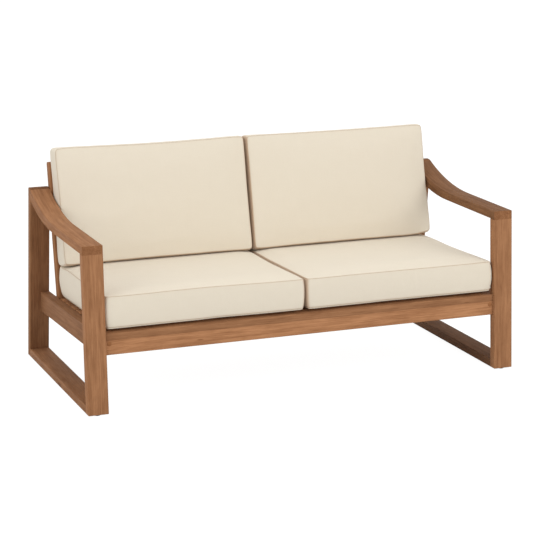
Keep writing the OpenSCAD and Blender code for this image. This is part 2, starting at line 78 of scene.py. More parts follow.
def share(name, text, default):
    return number(name, text, default, min=0, max=1, precision=3)


def colour(name, text, *rgb):
    return FloatVectorProperty(name=name, description=text, default=(*rgb, 1), size=4,
                               subtype="COLOR", min=0, max=1)


class BenchWood(bpy.types.PropertyGroup):
    light: colour("Light wood", "Early wood between the growth rings", 0.388, 0.187, 0.088)
    dark: colour("Dark wood", "Late wood, pores and end grain", 0.184, 0.075, 0.030)
    inner: colour("Inner wood", "Rails and bearers inside the seat", 0.30, 0.130, 0.052)
    ring: length("Ring width", "Distance between two growth rings", 0.0034)
    edge: length("Edge rounding", "Radius of the boards' long edges", 0.0022)
    joint_share: share("Joint share", "Share of the rounding kept where boards meet", 0.3)
    tone: share("Tone variation", "How much the boards differ in tone", 0.3)
    end_tone: share("End tone", "Least tone of the arms' sawn ends", 0.66)
    rail_edge: length("Rail edges", "Radius of the front rail's edges", 0.003)
    rail_drop: length("Rail drop", "How much lower than its solid the front rail lies, "
                      "which leaves a shadow gap", 0.0045)
    strip: length("Strip", "Width of the dark strip along the front rail's upper edge", 0.024)
    strip_tone: share("Strip tone", "How much darker the strip is than its rail", 0.6)


class BenchCushions(bpy.types.PropertyGroup):
    cloth: colour("Cloth", "Woven cover of the cushions", 0.785, 0.71, 0.585)
    # Painted shade of the threads that lie deeper; the yarn's own slubs and mottle also take this
    # colour
    shade: colour("Cloth shade", "Threads that lie deeper in the weave", 0.71, 0.63, 0.505)
    # Painted shade in the seams' grooves
    seam_shade: colour("Seam shade", "Cloth in the groove of a seam", 0.50, 0.375, 0.25)
    # Painted shade, warm like light bounced between the cushions, for cloth that faces another
    # cushion
    gap: colour("Gap shade", "Cloth that faces another cushion, near its seam", 0.43, 0.215, 0.09)
    thread: colour("Thread", "Sewing thread of the seams", 0.55, 0.43, 0.31)
    foam: colour("Foam", "Core of the cushions", 0.80, 0.72, 0.42)
    cell: length("Mesh cell", "Size of a cell of the cover before it is smoothed", 0.0095)
    corner: length("Corner", "Radius of the covers' upright corners", 0.009)
    pull: length("Drawn-in sides", "How far the sides are drawn in between the corners", 0.004)
    swell: length("Swell", "How far the border swells at mid-height", 0.003)
    crown: length("Crown", "Rise of the panels over their seams", 0.013)
    start: share("Start", "Share of the crown that a cover has before it fills", 0.8)
    corner_tuck: length("Corner tuck", "How far the seams' corners are drawn in", 0.0025)
    corner_reach: length("Corner reach", "How far from a corner its seams are drawn in", 0.03)
    lower_seam: length("Lower seam", "Height of the lower seam over what is under it", 0.014)
    lower_wrap: length("Lower wrap", "Width of the lower panel's rounded rim", 0.07)
    roll: length("Lower front edge", "Rounding of the back cushions' lower front edge", 0.003)
    clear: length("Clearance", "Gap under a resting cushion", 0.0004)
    seat_t: length("Seat cushion", "Height of the seat cushions' upper seam", 0.117)
    back_t: length("Back cushion", "Thickness of the back cushions at the top", 0.088)
    wedge: length("Back wedge", "How much thicker the back cushions are at the bottom", 0.018)
    pressure: number("Pressure", "Air pressure that rounds the covers", 4, min=0, max=20)
    frames: IntProperty(name="Frames", description="Length of the inflation", default=20,
                        min=2, max=60)
    slack: share("Slack", "Share by which the cloth is cut larger than its cushion", 0.001)
    cap: length("Puff cap", "How far a point of a cover may move as it fills", 0.006)
    border_cap: length("Border cap", "How far a point of a border may move", 0.0022)
    waves: length("Waves", "Unevenness of the sewn covers", 0.0008)
    sink: length("Sink", "How far a back cushion gives where it stands on a seat", 0.016)
    give: length("Give", "How far a back cushion's ends may hang below its middle", 0.0012)
    rest_gap: length("Rest gap", "Gap between two cushions that touch", 0.0007)
    front_gap: length("Front gap", "Gap that shows under a back cushion's front edge", 0.0045)
    gap_share: share("Gap share", "How strong the gap shade is", 0.5)
    gap_reach: length("Gap reach", "How far from its seam the gap shade reaches", 0.04)
    seam: length("Seam width", "Width of the groove along a seam", 0.0016)
    groove: length("Seam depth", "Depth of the groove along a seam", 0.0011)
    pitch: length("Stitch pitch", "Distance between two stitches", 0.0034)
    thread_r: length("Thread radius", "Radius of the sewing thread", 0.0004)
    weave: length("Weave", "Distance between two threads of the weave", 0.0011)
    zip_l: length("Zip", "Length of the zips", 0.34)
    zip_depth: length("Zip channel", "How deep the zip lies in the hidden border", 0.0034)
    tape: length("Zip tape", "Width of one tape of a zip", 0.0065)
    tooth: length("Zip tooth", "Length of half a tooth of a zip", 0.0013)


class BenchMetal(bpy.types.PropertyGroup):
    steel: colour("Steel", "Zinc-plated screws, bolts and brackets", 0.58, 0.58, 0.56)
    brass: colour("Brass", "Threaded inserts and zips", 0.62, 0.44, 0.18)
    plastic: colour("Glide plastic", "Black nylon of the foot glides", 0.02, 0.02, 0.022)
    segments: IntProperty(name="Segments", description="Sides of a turned fastener", default=18,
                          min=6, max=48)


class BenchStage(bpy.types.PropertyGroup):
    azimuth: number("Azimuth", "Camera's turn from the front, in degrees", -21.2964)
    elevation: number("Elevation", "Camera's height angle, in degrees", 13.5933)
    roll: number("Roll", "Camera's roll, in degrees", -0.076)
    distance: length("Distance", "Distance of the camera from its target", 7.0485)
    lens: number("Lens", "Focal length on a 36 mm sensor", 128.668)
    target: FloatVectorProperty(name="Target", description="Point that the camera looks at",
                                default=(0.01229, 0, 0.34728), subtype="XYZ", unit="LENGTH")
    floor: colour("Floor", "Pale studio floor", 0.7, 0.7, 0.7)
    glow: share("Floor glow", "Strength of the white floor that the camera sees", 0.96)
    matt: colour("Floor shadow", "Part of that floor that takes a shadow", 0.15, 0.15, 0.15)
    key: number("Key light", "Power of the large front light", 43)
    fill: number("Fill light", "Power of the left light", 30)
    top: number("Top light", "Power of the overhead light", 14)
    sky: number("Surround", "Strength of the even light around", 0.93)


# ---------------------------------------------------------------- helpers

def settings(kind):
    return getattr(bpy.context.scene, "bench_" + kind)


def new_object(name, data):
    piece = bpy.data.objects.new(name, data)
    bpy.context.scene.collection.objects.link(piece)
    return piece


def from_bmesh(name, bm):
    mesh = bpy.data.meshes.new(name)
    bm.to_mesh(mesh)
    bm.free()
    return new_object(name, mesh)


def from_points(name, points, edges=(), faces=()):
    mesh = bpy.data.meshes.new(name)
    mesh.from_pydata(points, edges, faces)
    return new_object(name, mesh)


def baked(piece):
    """Turns what the modifiers make into the piece's own plain mesh."""
    graph = bpy.context.evaluated_depsgraph_get()
    mesh = bpy.data.meshes.new_from_object(
        piece.evaluated_get(graph), preserve_all_data_layers=True, depsgraph=graph)
    piece.modifiers.clear()
    old, piece.data = piece.data, mesh
    mesh.name = piece.name
    if not old.users:
        bpy.data.meshes.remove(old)
    return piece


def vectors(items, name):
    """A vector of each vertex or face, one to a row."""
    rows = np.empty(len(items) * 3, np.float32)
    items.foreach_get(name, rows)
    return rows.reshape(-1, 3).astype(float)


def coords(mesh):
    return vectors(mesh.vertices, "co")


def set_coords(mesh, co):
    mesh.vertices.foreach_set("co", np.asarray(co, np.float32).ravel())
    mesh.update()


def store(mesh, name, kind, domain, values):
    """Keeps values on a mesh for its shader or its geometry nodes."""
    layer = mesh.attributes.get(name) or mesh.attributes.new(name, kind, domain)
    key = "vector" if kind == "FLOAT_VECTOR" else "value"
    layer.data.foreach_set(key, np.asarray(values, np.float32).ravel())


def search_tree(*meshes):
    """One tree over several meshes, to find what is near a point or on a ray."""
    verts, faces = [], []
    for mesh in meshes:
        base = len(verts)
        verts += [v.co.copy() for v in mesh.vertices]
        faces += [[base + i for i in p.vertices] for p in mesh.polygons]
    return BVHTree.FromPolygons(verts, faces)


def coat(piece, finish):
    piece.data.materials.clear()
    piece.data.materials.append(finishes()[finish])


def placed(piece, body, slot, *nodes):
    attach(piece, body)
    if nodes:
        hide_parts(*nodes)


# ---------------------------------------------------------------- node helpers

WHITE, BLACK = (1, 1, 1, 1), (0, 0, 0, 1)
# What every shader group puts out
SURFACE = {"Color": "Color", "Roughness": "Float", "Height": "Float"}


def add(tree, kind, inputs=None, **options):
    """Adds a node; inputs are values or the sockets that feed them."""
    node = tree.nodes.new(kind)
    for key, value in options.items():
        setattr(node, key, value)
    for key, value in (inputs or {}).items():
        if isinstance(value, bpy.types.NodeSocket):
            tree.links.new(value, node.inputs[key])
        else:
            node.inputs[key].default_value = value
    return node


def calc(tree, operation, *values, clamp=False):
    return add(tree, "ShaderNodeMath", dict(enumerate(values)), operation=operation,
               use_clamp=clamp).outputs[0]


def times(tree, value, by):
    return calc(tree, "MULTIPLY", value, by)


def plus_share(tree, amount, value, by):
    """The amount, and a share of a value on top."""
    return calc(tree, "MULTIPLY_ADD", value, by, amount)


def vector_math(tree, operation, inputs):
    return add(tree, "ShaderNodeVectorMath", inputs, operation=operation).outputs[0]


def scaled(tree, vector, by):
    return vector_math(tree, "SCALE", {0: vector, "Scale": by})


def cloud(tree, place, scale, detail=2, rough=0.5):
    """Noise; scale is how often it repeats in a metre, or that for each direction."""
    if isinstance(scale, tuple):
        place, scale = vector_math(tree, "MULTIPLY", {0: place, 1: scale}), 1
    return add(tree, "ShaderNodeTexNoise", {"Vector": place, "Scale": scale, "Detail": detail,
                                            "Roughness": rough}).outputs["Fac"]


def blend(tree, amount, a, b):
    return add(tree, "ShaderNodeMix", {0: amount, 6: a, 7: b}, data_type="RGBA").outputs[2]


def ease(tree, value, low, high):
    """0 at low, 1 at high, and smooth between them."""
    return add(tree, "ShaderNodeMapRange", {0: value, 1: low, 2: high},
               interpolation_type="SMOOTHSTEP").outputs[0]


def attribute(tree, name, output="Fac"):
    return add(tree, "ShaderNodeAttribute", attribute_name=name).outputs[output]


def new_group(name, kind, inputs, outputs):
    """A node group; sockets are given by their default, or by their type where they have none.

    Returns the group, its inputs and a function that ends it.
    """
    group = bpy.data.node_groups.new(name, kind)
    for way, sockets in (("INPUT", inputs), ("OUTPUT", outputs)):
        for label, value in sockets.items():
            if isinstance(value, str):
                socket = value
            elif isinstance(value, tuple):
                socket = "Color" if len(value) == 4 else "Vector"
            else:
                socket = "Int" if isinstance(value, int) else "Float"
            item = group.interface.new_socket(name=label, in_out=way,
                                              socket_type="NodeSocket" + socket)
            if socket != value:
                item.default_value = value
    source = group.nodes.new("NodeGroupInput").outputs
    sink = group.nodes.new("NodeGroupOutput").inputs

    def finish(*sockets):
        for socket, place in zip(sockets, sink):
            group.links.new(socket, place)
        return group
    return group, source, finish


# ---------------------------------------------------------------- finishes

# The wood's figure: how often it repeats in a metre along, across and through a board, its
# detail and its roughness
FIGURE = {
    "wander": ((1.1, 5, 5), 2, 0.5),
    "patch": ((11, 38, 38), 3, 0.6),
    "broad": ((3.5, 95, 95), 3, 0.6),
    "narrow": ((12, 300, 300), 2, 0.6),
    "fibre": ((45, 900, 900), 2, 0.6),
    "pores": ((60, 1500, 1500), 1, 0.4),
    "knots": ((9, 42, 42), 1, 0.3),
    "rays": ((2, 260, 700), 2, 0.5),
}
# Where a part of the figure starts to show, and where it is at its darkest
CONTRAST = {"patch": (0.3, 0.7), "broad": (0.3, 0.7), "narrow": (0.25, 0.75),
            "pores": (0.64, 0.76), "knots": (0.755, 0.8), "rays": (0.35, 0.65)}
# Dark figure up to this amount doesn't show
PLAIN_WOOD = 0.36


def grain_group():
    """Growth rings, fibres, pores, knots and end grain, on the coordinates stored in a board."""
    t, put, finish = new_group(
        "Board grain", "ShaderNodeTree",
        {"Light": WHITE, "Dark": BLACK, "Ring Width": 0.004, "Rings": 0.5, "Streaks": 0.5,
         "Tone": 0.1}, SURFACE)
    grain = attribute(t, "grain", "Vector")
    end, tone = attribute(t, "end"), attribute(t, "tone")
    look = {name: cloud(t, grain, *values) for name, values in FIGURE.items()}
    mask = {name: ease(t, look[name], *ends) for name, ends in CONTRAST.items()}
    # Distance from the pith, which wanders a little along the board
    split = add(t, "ShaderNodeSeparateXYZ", {0: grain}).outputs
    across = plus_share(t, split[1], look["wander"], 0.05)
    depth = plus_share(t, split[2], look["wander"], 0.03)
    radius = calc(t, "SQRT", calc(t, "ADD", times(t, across, across), times(t, depth, depth)))
    ring = calc(t, "FRACT", calc(t, "DIVIDE", radius, put["Ring Width"]))
    late = times(t, calc(t, "POWER", ring, 2.0), ease(t, ring, 1.0, 0.8))
    # Rings, streaks, fibres, pores and knots each darken the wood by their share
    amount = times(t, plus_share(t, put["Rings"], end, 0.9), late)
    for dark, by in ((mask["broad"], put["Streaks"]), (mask["patch"], 0.28),
                     (mask["narrow"], put["Streaks"]), (look["fibre"], 0.34),
                     (mask["pores"], 0.16), (mask["knots"], 0.7),
                     (end, plus_share(t, 0.1, mask["rays"], 0.24))):
        amount = plus_share(t, amount, dark, by)
    shown = calc(t, "SUBTRACT", amount, PLAIN_WOOD, clamp=True)
    wood = blend(t, shown, put["Light"], put["Dark"])
    # The boards differ in tone: at random, and darker where a board was given a low tone as
    # painted shade
    shift = plus_share(t, 1.0, calc(t, "SUBTRACT", tone, 0.5), times(t, put["Tone"], 2))
    rough = plus_share(t, plus_share(t, 0.58, end, 0.12), look["fibre"], 0.22)
    raised = times(t, calc(t, "ADD", look["fibre"], look["narrow"]), 0.4)
    height = calc(t, "SUBTRACT", raised, times(t, mask["pores"], 0.6))
    return finish(scaled(t, wood, shift), rough, height)


def weave_group():
    """A plain weave of uneven threads on the cloth's own map, which is in metres."""
    t, put, finish = new_group(
        "Plain weave", "ShaderNodeTree",
        {"Cloth": WHITE, "Shade": BLACK, "Pitch": 0.001, "Slub": 0.3,
         "Seam": (0.5, 0.4, 0.3, 1), "Gap": (0.4, 0.2, 0.1, 1)}, SURFACE)
    uv = add(t, "ShaderNodeUVMap", uv_map="weave").outputs[0]
    split = add(t, "ShaderNodeSeparateXYZ", {0: uv}).outputs
    turn = calc(t, "DIVIDE", math.pi, put["Pitch"])
    u, v = (calc(t, "SINE", times(t, split[axis], turn)) for axis in (0, 1))
    over = calc(t, "GREATER_THAN", times(t, u, v), 0)
    warp = times(t, calc(t, "ABSOLUTE", u), over)
    weft = times(t, calc(t, "ABSOLUTE", v), calc(t, "SUBTRACT", 1, over))
    height = calc(t, "ADD", warp, weft)
    slub = calc(t, "ADD", cloud(t, uv, (14, 900, 1)), cloud(t, uv, (900, 14, 1)))
    mottle = times(t, cloud(t, uv, 22, 3), 0.25)
    # Threads that lie deeper take the Shade colour: painted shade in the weave, mixed with the
    # yarn's own slubs and mottle
    deep = plus_share(t, mottle, calc(t, "SUBTRACT", 1, height), 0.5)
    deep = calc(t, "MULTIPLY_ADD", calc(t, "SUBTRACT", slub, 1), put["Slub"], deep, clamp=True)
    cloth = blend(t, deep, put["Cloth"], put["Shade"])
    # Painted shade: the seams' grooves take the Seam colour, and cloth that faces another cushion
    # takes the warmer Gap colour
    for part in ("Seam", "Gap"):
        cloth = blend(t, attribute(t, part.lower()), cloth, put[part])
    return finish(cloth, plus_share(t, 0.92, height, -0.08), height)


def wear_group():
    """Fine turning marks and dull patches on metal, plastic, thread and foam."""
    t, put, finish = new_group("Turned finish", "ShaderNodeTree",
                               {"Base": WHITE, "Dull": 0.2, "Roughness": 0.35}, SURFACE)
    point = add(t, "ShaderNodeTexCoord").outputs["Object"]
    patch, marks = cloud(t, point, 90, 3), cloud(t, point, (300, 300, 2600))
    base = scaled(t, put["Base"], plus_share(t, 1, patch, times(t, put["Dull"], -1)))
    rough = plus_share(t, calc(t, "SUBTRACT", put["Roughness"], 0.1),
                       calc(t, "ADD", patch, marks), 0.12)
    return finish(base, rough, marks)


def material(name, group, values, bump, depth, **shader):
    """A Principled material whose colour, roughness and relief come from a shader group."""
    mat = bpy.data.materials.new(name)
    mat.use_nodes = True
    t = mat.node_tree
    surface = t.nodes["Principled BSDF"]
    for key, value in shader.items():
        surface.inputs[key.replace("_", " ")].default_value = value
    look = add(t, "ShaderNodeGroup", node_tree=group)
    for key, value in values.items():
        look.inputs[key].default_value = value
    relief = add(t, "ShaderNodeBump", {"Strength": bump, "Distance": depth,
                                       "Height": look.outputs["Height"]})
    for socket, place in ((look.outputs["Color"], "Base Color"),
                          (look.outputs["Roughness"], "Roughness"),
                          (relief.outputs[0], "Normal")):
        t.links.new(socket, surface.inputs[place])
    return mat


@functools.cache
def finishes():
    """Every finish: those of the record's slots, and the sewing thread's."""
    wood, pad, metal = settings("wood"), settings("cushions"), settings("metal")
    grain, weave, wear = grain_group(), weave_group(), wear_group()

    def boards(name, light, rings, streaks):
        look = {"Light": light, "Dark": wood.dark, "Ring Width": wood.ring, "Rings": rings,
                "Streaks": streaks, "Tone": wood.tone}
        return material(name, grain, look, 0.35, 0.3 * MM, Specular_IOR_Level=0.1)

    def cloth(name, base, shade, pitch, slub, bump):
        look = {"Cloth": base, "Shade": shade, "Pitch": pitch, "Slub": slub,
                "Seam": pad.seam_shade, "Gap": pad.gap}
        return material(name, weave, look, bump, 0.3 * MM, Specular_IOR_Level=0.2,
                        Sheen_Weight=0.12, Sheen_Roughness=0.6)

    def hard(name, base, metallic, rough, dull):
        look = {"Base": base, "Dull": dull, "Roughness": rough}
        return material(name, wear, look, 0.15, 0.05 * MM, Metallic=metallic,
                        Specular_IOR_Level=0.5 if metallic else 0.2)

    looks = {
        "hardwood": (boards, wood.light, 0.22, 0.34),
        "inner_wood": (boards, wood.inner, 0.25, 0.5),
        "plug_wood": (boards, wood.inner, 0.35, 0.5),
        "cushion_fabric": (cloth, pad.cloth, pad.shade, pad.weave, 0.35, 0.5),
        "zip_tape": (cloth, pad.shade, pad.thread, pad.weave * 0.6, 0.2, 0.6),
        "thread": (hard, pad.thread, 0, 0.7, 0.3),
        "foam": (hard, pad.foam, 0, 0.95, 0.35),
        "steel": (hard, metal.steel, 1, 0.38, 0.25),
        "brass": (hard, metal.brass, 1, 0.34, 0.3),
        "glide_plastic": (hard, metal.plastic, 0, 0.75, 0.2),
    }
    return {name: make(name, *values) for name, (make, *values) in looks.items()}


# ---------------------------------------------------------------- boards

def side_view(degrees, upright=True):
    """A direction in the side view, leant back from upright or raised from the floor."""
    a = math.radians(degrees)
    straight, aside = math.cos(a), math.sin(a)
    return Vector((0, aside, straight) if upright else (0, straight, aside))


# Where each kind of board runs; an arm's grain follows its bend instead
ALONG = {
    "front_leg": side_view(FRONT_LEAN),
    "rear_leg": side_view(-REAR_LEAN),
    "stile": side_view(BACK_RAKE),
    "sled": Vector((0, 1, 0)),
    "seat": side_view(-SEAT_RAKE, upright=False),
    "cross": Vector((1, 0, 0)),
}
# An arm's bend: where it starts, its centre's height and its radius
BEND_Y, BEND_Z, BEND_R = -0.012, 1.345, 0.778
# Where a board may lie in its tree: along it, and across and through it from the pith
CUT_ALONG, CUT_ACROSS, CUT_THROUGH = (1, 9), (-0.05, 0.05), (0.035, 0.09)
TONES = (-0.12, 0.12)
# A face is end grain where the grain comes out of it at more than this share
END_SHARE = 0.75
# Faces that are nearly in one plane become one, and edges sharper than SHARP are rounded
NEARLY_FLAT, SHARP = math.radians(0.6), math.radians(28)
# An edge this near a fastener belongs to its hole, and one this near a board to a joint
HOLE_REACH, JOINT_REACH = 2.2 * MM, 0.5 * MM
# Points this near a rail's upper or lower edge move with it
RAIL_EDGE = 1 * MM


def nodes_with(*words):
    return [n for n in NODES if any(word in n for word in words)]


FASTENED = nodes_with("screw", "bolt", "nut", "insert", "plug")
BOARDS = [n for n in NODES if n not in
          FASTENED + nodes_with("bracket", "glide", "cover", "foam", "zip")]


def grain_of(co, kind):
    """Places along, across and through a board, and the direction of its grain at each."""
    if kind != "arm":
        along = ALONG[kind]
        across = Vector((0, 0, 1)) if kind == "cross" else Vector((1, 0, 0))
        axes = np.array([along, across, along.cross(across)])
        return co @ axes.T, np.tile(axes[0], (len(co), 1))
    run, rise = co[:, 1] - BEND_Y, BEND_Z - co[:, 2]
    turn = np.arctan2(np.maximum(run, 0), rise)
    bent = run > 0
    along = np.where(bent, BEND_R * turn, run)
    through = np.where(bent, BEND_R - np.hypot(run, rise), BEND_R - rise)
    heading = np.stack([np.zeros(len(co)), np.cos(turn), np.sin(turn)], 1)
    return np.stack([along, co[:, 0], through], 1), heading


def store_grain(mesh, kind, seed, tone=None, strip=None):
    """Stores what the grain shader reads: grain coordinates, end-grain faces and tones."""
    wood, rng = settings("wood"), np.random.default_rng(seed)
    places, _ = grain_of(coords(mesh), kind)
    middle = (places.min(0) + places.max(0)) / 2
    cut = [rng.uniform(*ends) for ends in (CUT_ALONG, CUT_ACROSS, CUT_THROUGH)]
    store(mesh, "grain", "FLOAT_VECTOR", "POINT", places - middle + cut)
    centres = vectors(mesh.polygons, "center")
    _, heading = grain_of(centres, kind)
    end = np.abs((vectors(mesh.polygons, "normal") * heading).sum(1)) > END_SHARE
    store(mesh, "end", "FLOAT", "FACE", end)
    tones = np.full(len(end), 0.5 + rng.uniform(*TONES) if tone is None else tone)
    if strip:
        tones[centres[:, 2] > strip] -= wood.strip_tone
    if kind == "arm":
        tones[end] = np.maximum(tones[end], wood.end_tone)
    store(mesh, "tone", "FLOAT", "FACE", tones)


def eased_board(node, name, boards, holes, strip=None, radius=None, drop=0):
    """A copy of a CAD board with its long edges rounded and its joints' edges only just broken.

    boards and holes are search trees over what it meets. The front rail's faces are also cut
    at the height of its strip, and its upper and lower edges drop.
    """
    wood = settings("wood")
    bm = bmesh.new()
    bm.from_mesh(NODES[node].data)
    bmesh.ops.remove_doubles(bm, verts=bm.verts, dist=1e-5)
    bmesh.ops.dissolve_limit(bm, angle_limit=NEARLY_FLAT, verts=bm.verts, edges=bm.edges)
    if drop:
        low, high = (extreme(v.co.z for v in bm.verts) for extreme in (min, max))
        for v in bm.verts:
            if not low + RAIL_EDGE < v.co.z < high - RAIL_EDGE:
                v.co.z -= drop
    if strip:
        bmesh.ops.bisect_plane(bm, geom=[*bm.verts, *bm.edges, *bm.faces],
                               plane_co=(0, 0, strip), plane_no=(0, 0, 1))
    weight = bm.edges.layers.float.new("bevel_weight_edge")
    for face in bm.faces:
        face.smooth = True
    for edge in bm.edges:
        if len(edge.link_faces) != 2 or edge.calc_face_angle(0) < SHARP:
            continue
        middle = (edge.verts[0].co + edge.verts[1].co) / 2
        if not edge.is_convex or holes.find_nearest(middle, HOLE_REACH)[0] is not None:
            edge.smooth = False
            continue
        meets = boards.find_nearest(middle, JOINT_REACH)[0] is not None
        edge[weight] = wood.joint_share if meets else 1
    board = from_bmesh(name, bm)
    bevel = board.modifiers.new("edges", "BEVEL")
    bevel.limit_method = "WEIGHT"
    bevel.width = radius or wood.edge
    bevel.segments = 2
    bevel.use_clamp_overlap = False
    bevel.harden_normals = True
    return baked(board)


def around(*nodes):
    """Search trees over the boards and the fasteners next to some nodes."""
    return (search_tree(*(NODES[n].data for n in group if n not in nodes))
            for group in (BOARDS, FASTENED))


def make_board(node, kind, seed, slot="hardwood", tone=None, **rail):
    board = eased_board(node, node + "_board", *around(node), **rail)
    store_grain(board.data, kind, seed, tone, rail.get("strip"))
    coat(board, slot)
    placed(board, "frame", slot, node)


def make_row(name, nodes, steps, seed, tone=None):
    """Slats of one size, made as copies of the first; a step is a count and a node it leads to."""
    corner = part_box(nodes[0])[0]
    (count, step), (rows, row_step) = (
        (many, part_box(node)[0] - corner if node else Vector((0, 0, 0))) for many, node in steps)
    piece = eased_board(nodes[0], name, *around(*nodes))
    store_grain(piece.data, "cross", seed, tone)
    grow(piece, row_tree(), count=count, step=step, rows=rows, row_step=row_step, seed=seed,
         finish=finishes()["hardwood"])
    placed(piece, "frame", "hardwood", *nodes)


# ---------------------------------------------------------------- geometry node trees

def grow(piece, tree, **values):
    """Runs a tree on a piece, with its inputs set by their sockets' identifiers."""
    modifier = piece.modifiers.new(tree.name, "NODES")
    modifier.node_group = tree
    for item in tree.interface.items_tree:
        key = item.name.replace(" ", "_").lower()
        if item.in_out == "INPUT" and key in values:
            modifier[item.identifier] = values[key]
    return baked(piece)


def geo(tree, kind, inputs=None, **options):
    """Adds a geometry node and gives its first output."""
    return add(tree, "GeometryNode" + kind, inputs, **options).outputs[0]


def named(tree, name, kind="FLOAT_VECTOR"):
    return geo(tree, "InputNamedAttribute", {"Name": name}, data_type=kind)


def stored(tree, geometry, name, value, kind, domain):
    return geo(tree, "StoreNamedAttribute",
               {"Geometry": geometry, "Name": name, "Value": value}, data_type=kind,
               domain=domain)


def spaced(tree, line, pitch):
    """Points at even distances along a mesh's edges."""
    curve = geo(tree, "MeshToCurve", {"Mesh": line})
    return geo(tree, "ResampleCurve", {"Curve": curve, "Length": pitch}, mode="LENGTH")


def facing(tree, direction):
    return add(tree, "FunctionNodeAlignRotationToVector", {"Vector": direction},
               axis="Z").outputs[0]


def copies(tree, put, points, instance, **more):
    """A copy at each point, made real, with the tree's finish."""
    made = geo(tree, "InstanceOnPoints", {"Points": points, "Instance": instance, **more})
    real = geo(tree, "RealizeInstances", {0: made})
    return geo(tree, "SetMaterial", {"Geometry": real, "Material": put["Finish"]})


@functools.cache
def row_tree():
    """Copies a board along two steps; each copy has its own stretch of grain and its own tone."""
    t, put, finish = new_group(
        "Row of boards", "GeometryNodeTree",
        {"Board": "Geometry", "Count": 2, "Step": (0, 0, 0), "Rows": 1, "Row Step": (0, 0, 0),
         "Seed": 1, "Finish": "Material"}, {"Boards": "Geometry"})
    line, lines = (geo(t, "MeshLine", {"Count": put[count], "Offset": put[step]}, mode="OFFSET")
                   for count, step in (("Count", "Step"), ("Rows", "Row Step")))
    grid = geo(t, "InstanceOnPoints", {"Points": lines, "Instance": line})
    points = geo(t, "RealizeInstances", {0: grid})
    slats = geo(t, "InstanceOnPoints", {"Points": points, "Instance": put["Board"]})
    slats = stored(t, slats, "number", geo(t, "InputIndex"), "INT", "INSTANCE")
    slats = geo(t, "RealizeInstances", {0: slats})
    own = {"ID": named(t, "number", "INT"), "Seed": put["Seed"]}
    shift = add(t, "FunctionNodeRandomValue", {0: (-4, -0.03, -0.02), 1: (4, 0.03, 0.03), **own},
                data_type="FLOAT_VECTOR").outputs[0]
    moved = vector_math(t, "ADD", {0: named(t, "grain"), 1: shift})
    slats = stored(t, slats, "grain", moved, "FLOAT_VECTOR", "POINT")
    tone = add(t, "FunctionNodeRandomValue", {2: 0.0, 3: 1.0, **own},
               data_type="FLOAT").outputs[1]
    slats = stored(t, slats, "tone", tone, "FLOAT", "FACE")
    return finish(geo(t, "SetMaterial", {"Geometry": slats, "Material": put["Finish"]}))


@functools.cache
def fastener_tree():
    """Puts a fastener at each point, along the point's own heading, each turned its own way."""
    t, put, finish = new_group(
        "Fasteners", "GeometryNodeTree",
        {"Places": "Geometry", "Fastener": "Object", "Seed": 1, "Finish": "Material"},
        {"Fasteners": "Geometry"})
    shape = add(t, "GeometryNodeObjectInfo", {"Object": put["Fastener"]}).outputs["Geometry"]
    spin = add(t, "FunctionNodeRandomValue",
               {2: 0.0, 3: 2 * math.pi, "Seed": put["Seed"]}).outputs[1]
    about = add(t, "FunctionNodeAxisAngleToRotation", {"Axis": (0, 0, 1), "Angle": spin})
    turn = add(t, "FunctionNodeRotateRotation",
               {"Rotation": facing(t, named(t, "heading")), "Rotate By": about.outputs[0]},
               rotation_space="LOCAL").outputs[0]
    return finish(copies(t, put, put["Places"], shape, Rotation=turn))


@functools.cache
def stitch_tree():
    """Sews along edges: one short thread at each pitch, as long as its share of the pitch."""
    t, put, finish = new_group(
        "Stitches", "GeometryNodeTree",
        {"Seam": "Geometry", "Pitch": 0.003, "Thread Radius": 0.0004, "Share": 0.72,
         "Finish": "Material"}, {"Stitches": "Geometry"})
    thread = geo(t, "MeshUVSphere", {"Segments": 6, "Rings": 4, "Radius": 1.0})
    half = times(t, put["Pitch"], times(t, put["Share"], 0.5))
    size = add(t, "ShaderNodeCombineXYZ",
               {0: put["Thread Radius"], 1: put["Thread Radius"], 2: half}).outputs[0]
    turn = facing(t, geo(t, "InputTangent"))
    return finish(copies(t, put, spaced(t, put["Seam"], put["Pitch"]), thread, Rotation=turn,
                         Scale=size))


@functools.cache
def teeth_tree():
    """Sets teeth along a line, by turns from one side and the other."""
    t, put, finish = new_group(
        "Zip teeth", "GeometryNodeTree",
        {"Line": "Geometry", "Tooth": "Object", "Pitch": 0.0012, "Finish": "Material"},
        {"Teeth": "Geometry"})
    shape = add(t, "GeometryNodeObjectInfo", {"Object": put["Tooth"]}).outputs["Geometry"]
    half_turns = times(t, calc(t, "MODULO", geo(t, "InputIndex"), 2), math.pi)
    turn = add(t, "ShaderNodeCombineXYZ", {1: half_turns}).outputs[0]
    return finish(copies(t, put, spaced(t, put["Line"], put["Pitch"]), shape, Rotation=turn))


# ---------------------------------------------------------------- fasteners

def islands(node):
    """The separate solids of a CAD node, each as an array of its points."""
    bm = bmesh.new()
    bm.from_mesh(NODES[node].data)
    bmesh.ops.remove_doubles(bm, verts=bm.verts, dist=1e-6)
    # A dict, which unlike a set gives the points in the same order each run
    left, found = dict.fromkeys(bm.verts), []
    while left:
        stack, group = [left.popitem()[0]], []
        while stack:
            vert = stack.pop()
            group.append(vert.co[:])
            for edge in vert.link_edges:
                other = edge.other_vert(vert)
                if other in left:
                    del left[other]
                    stack.append(other)
        found.append(np.array(group))
    bm.free()
    return sorted(found, key=lambda g: tuple(np.round(g.mean(0), 4)))


def fastener_places(node):
    """The top of each fastener's head, and the direction that it faces."""
    places = []
    for points in islands(node):
        middle = points.mean(0)
        axis = np.linalg.svd(points - middle)[2][0]
        reach = (points - middle) @ axis
        wide = np.linalg.norm(points - middle - np.outer(reach, axis), axis=1)
        if reach[wide.argmax()] < 0:
            axis, reach = -axis, -reach
        places.append((middle + axis * reach.max(), axis))
    return places


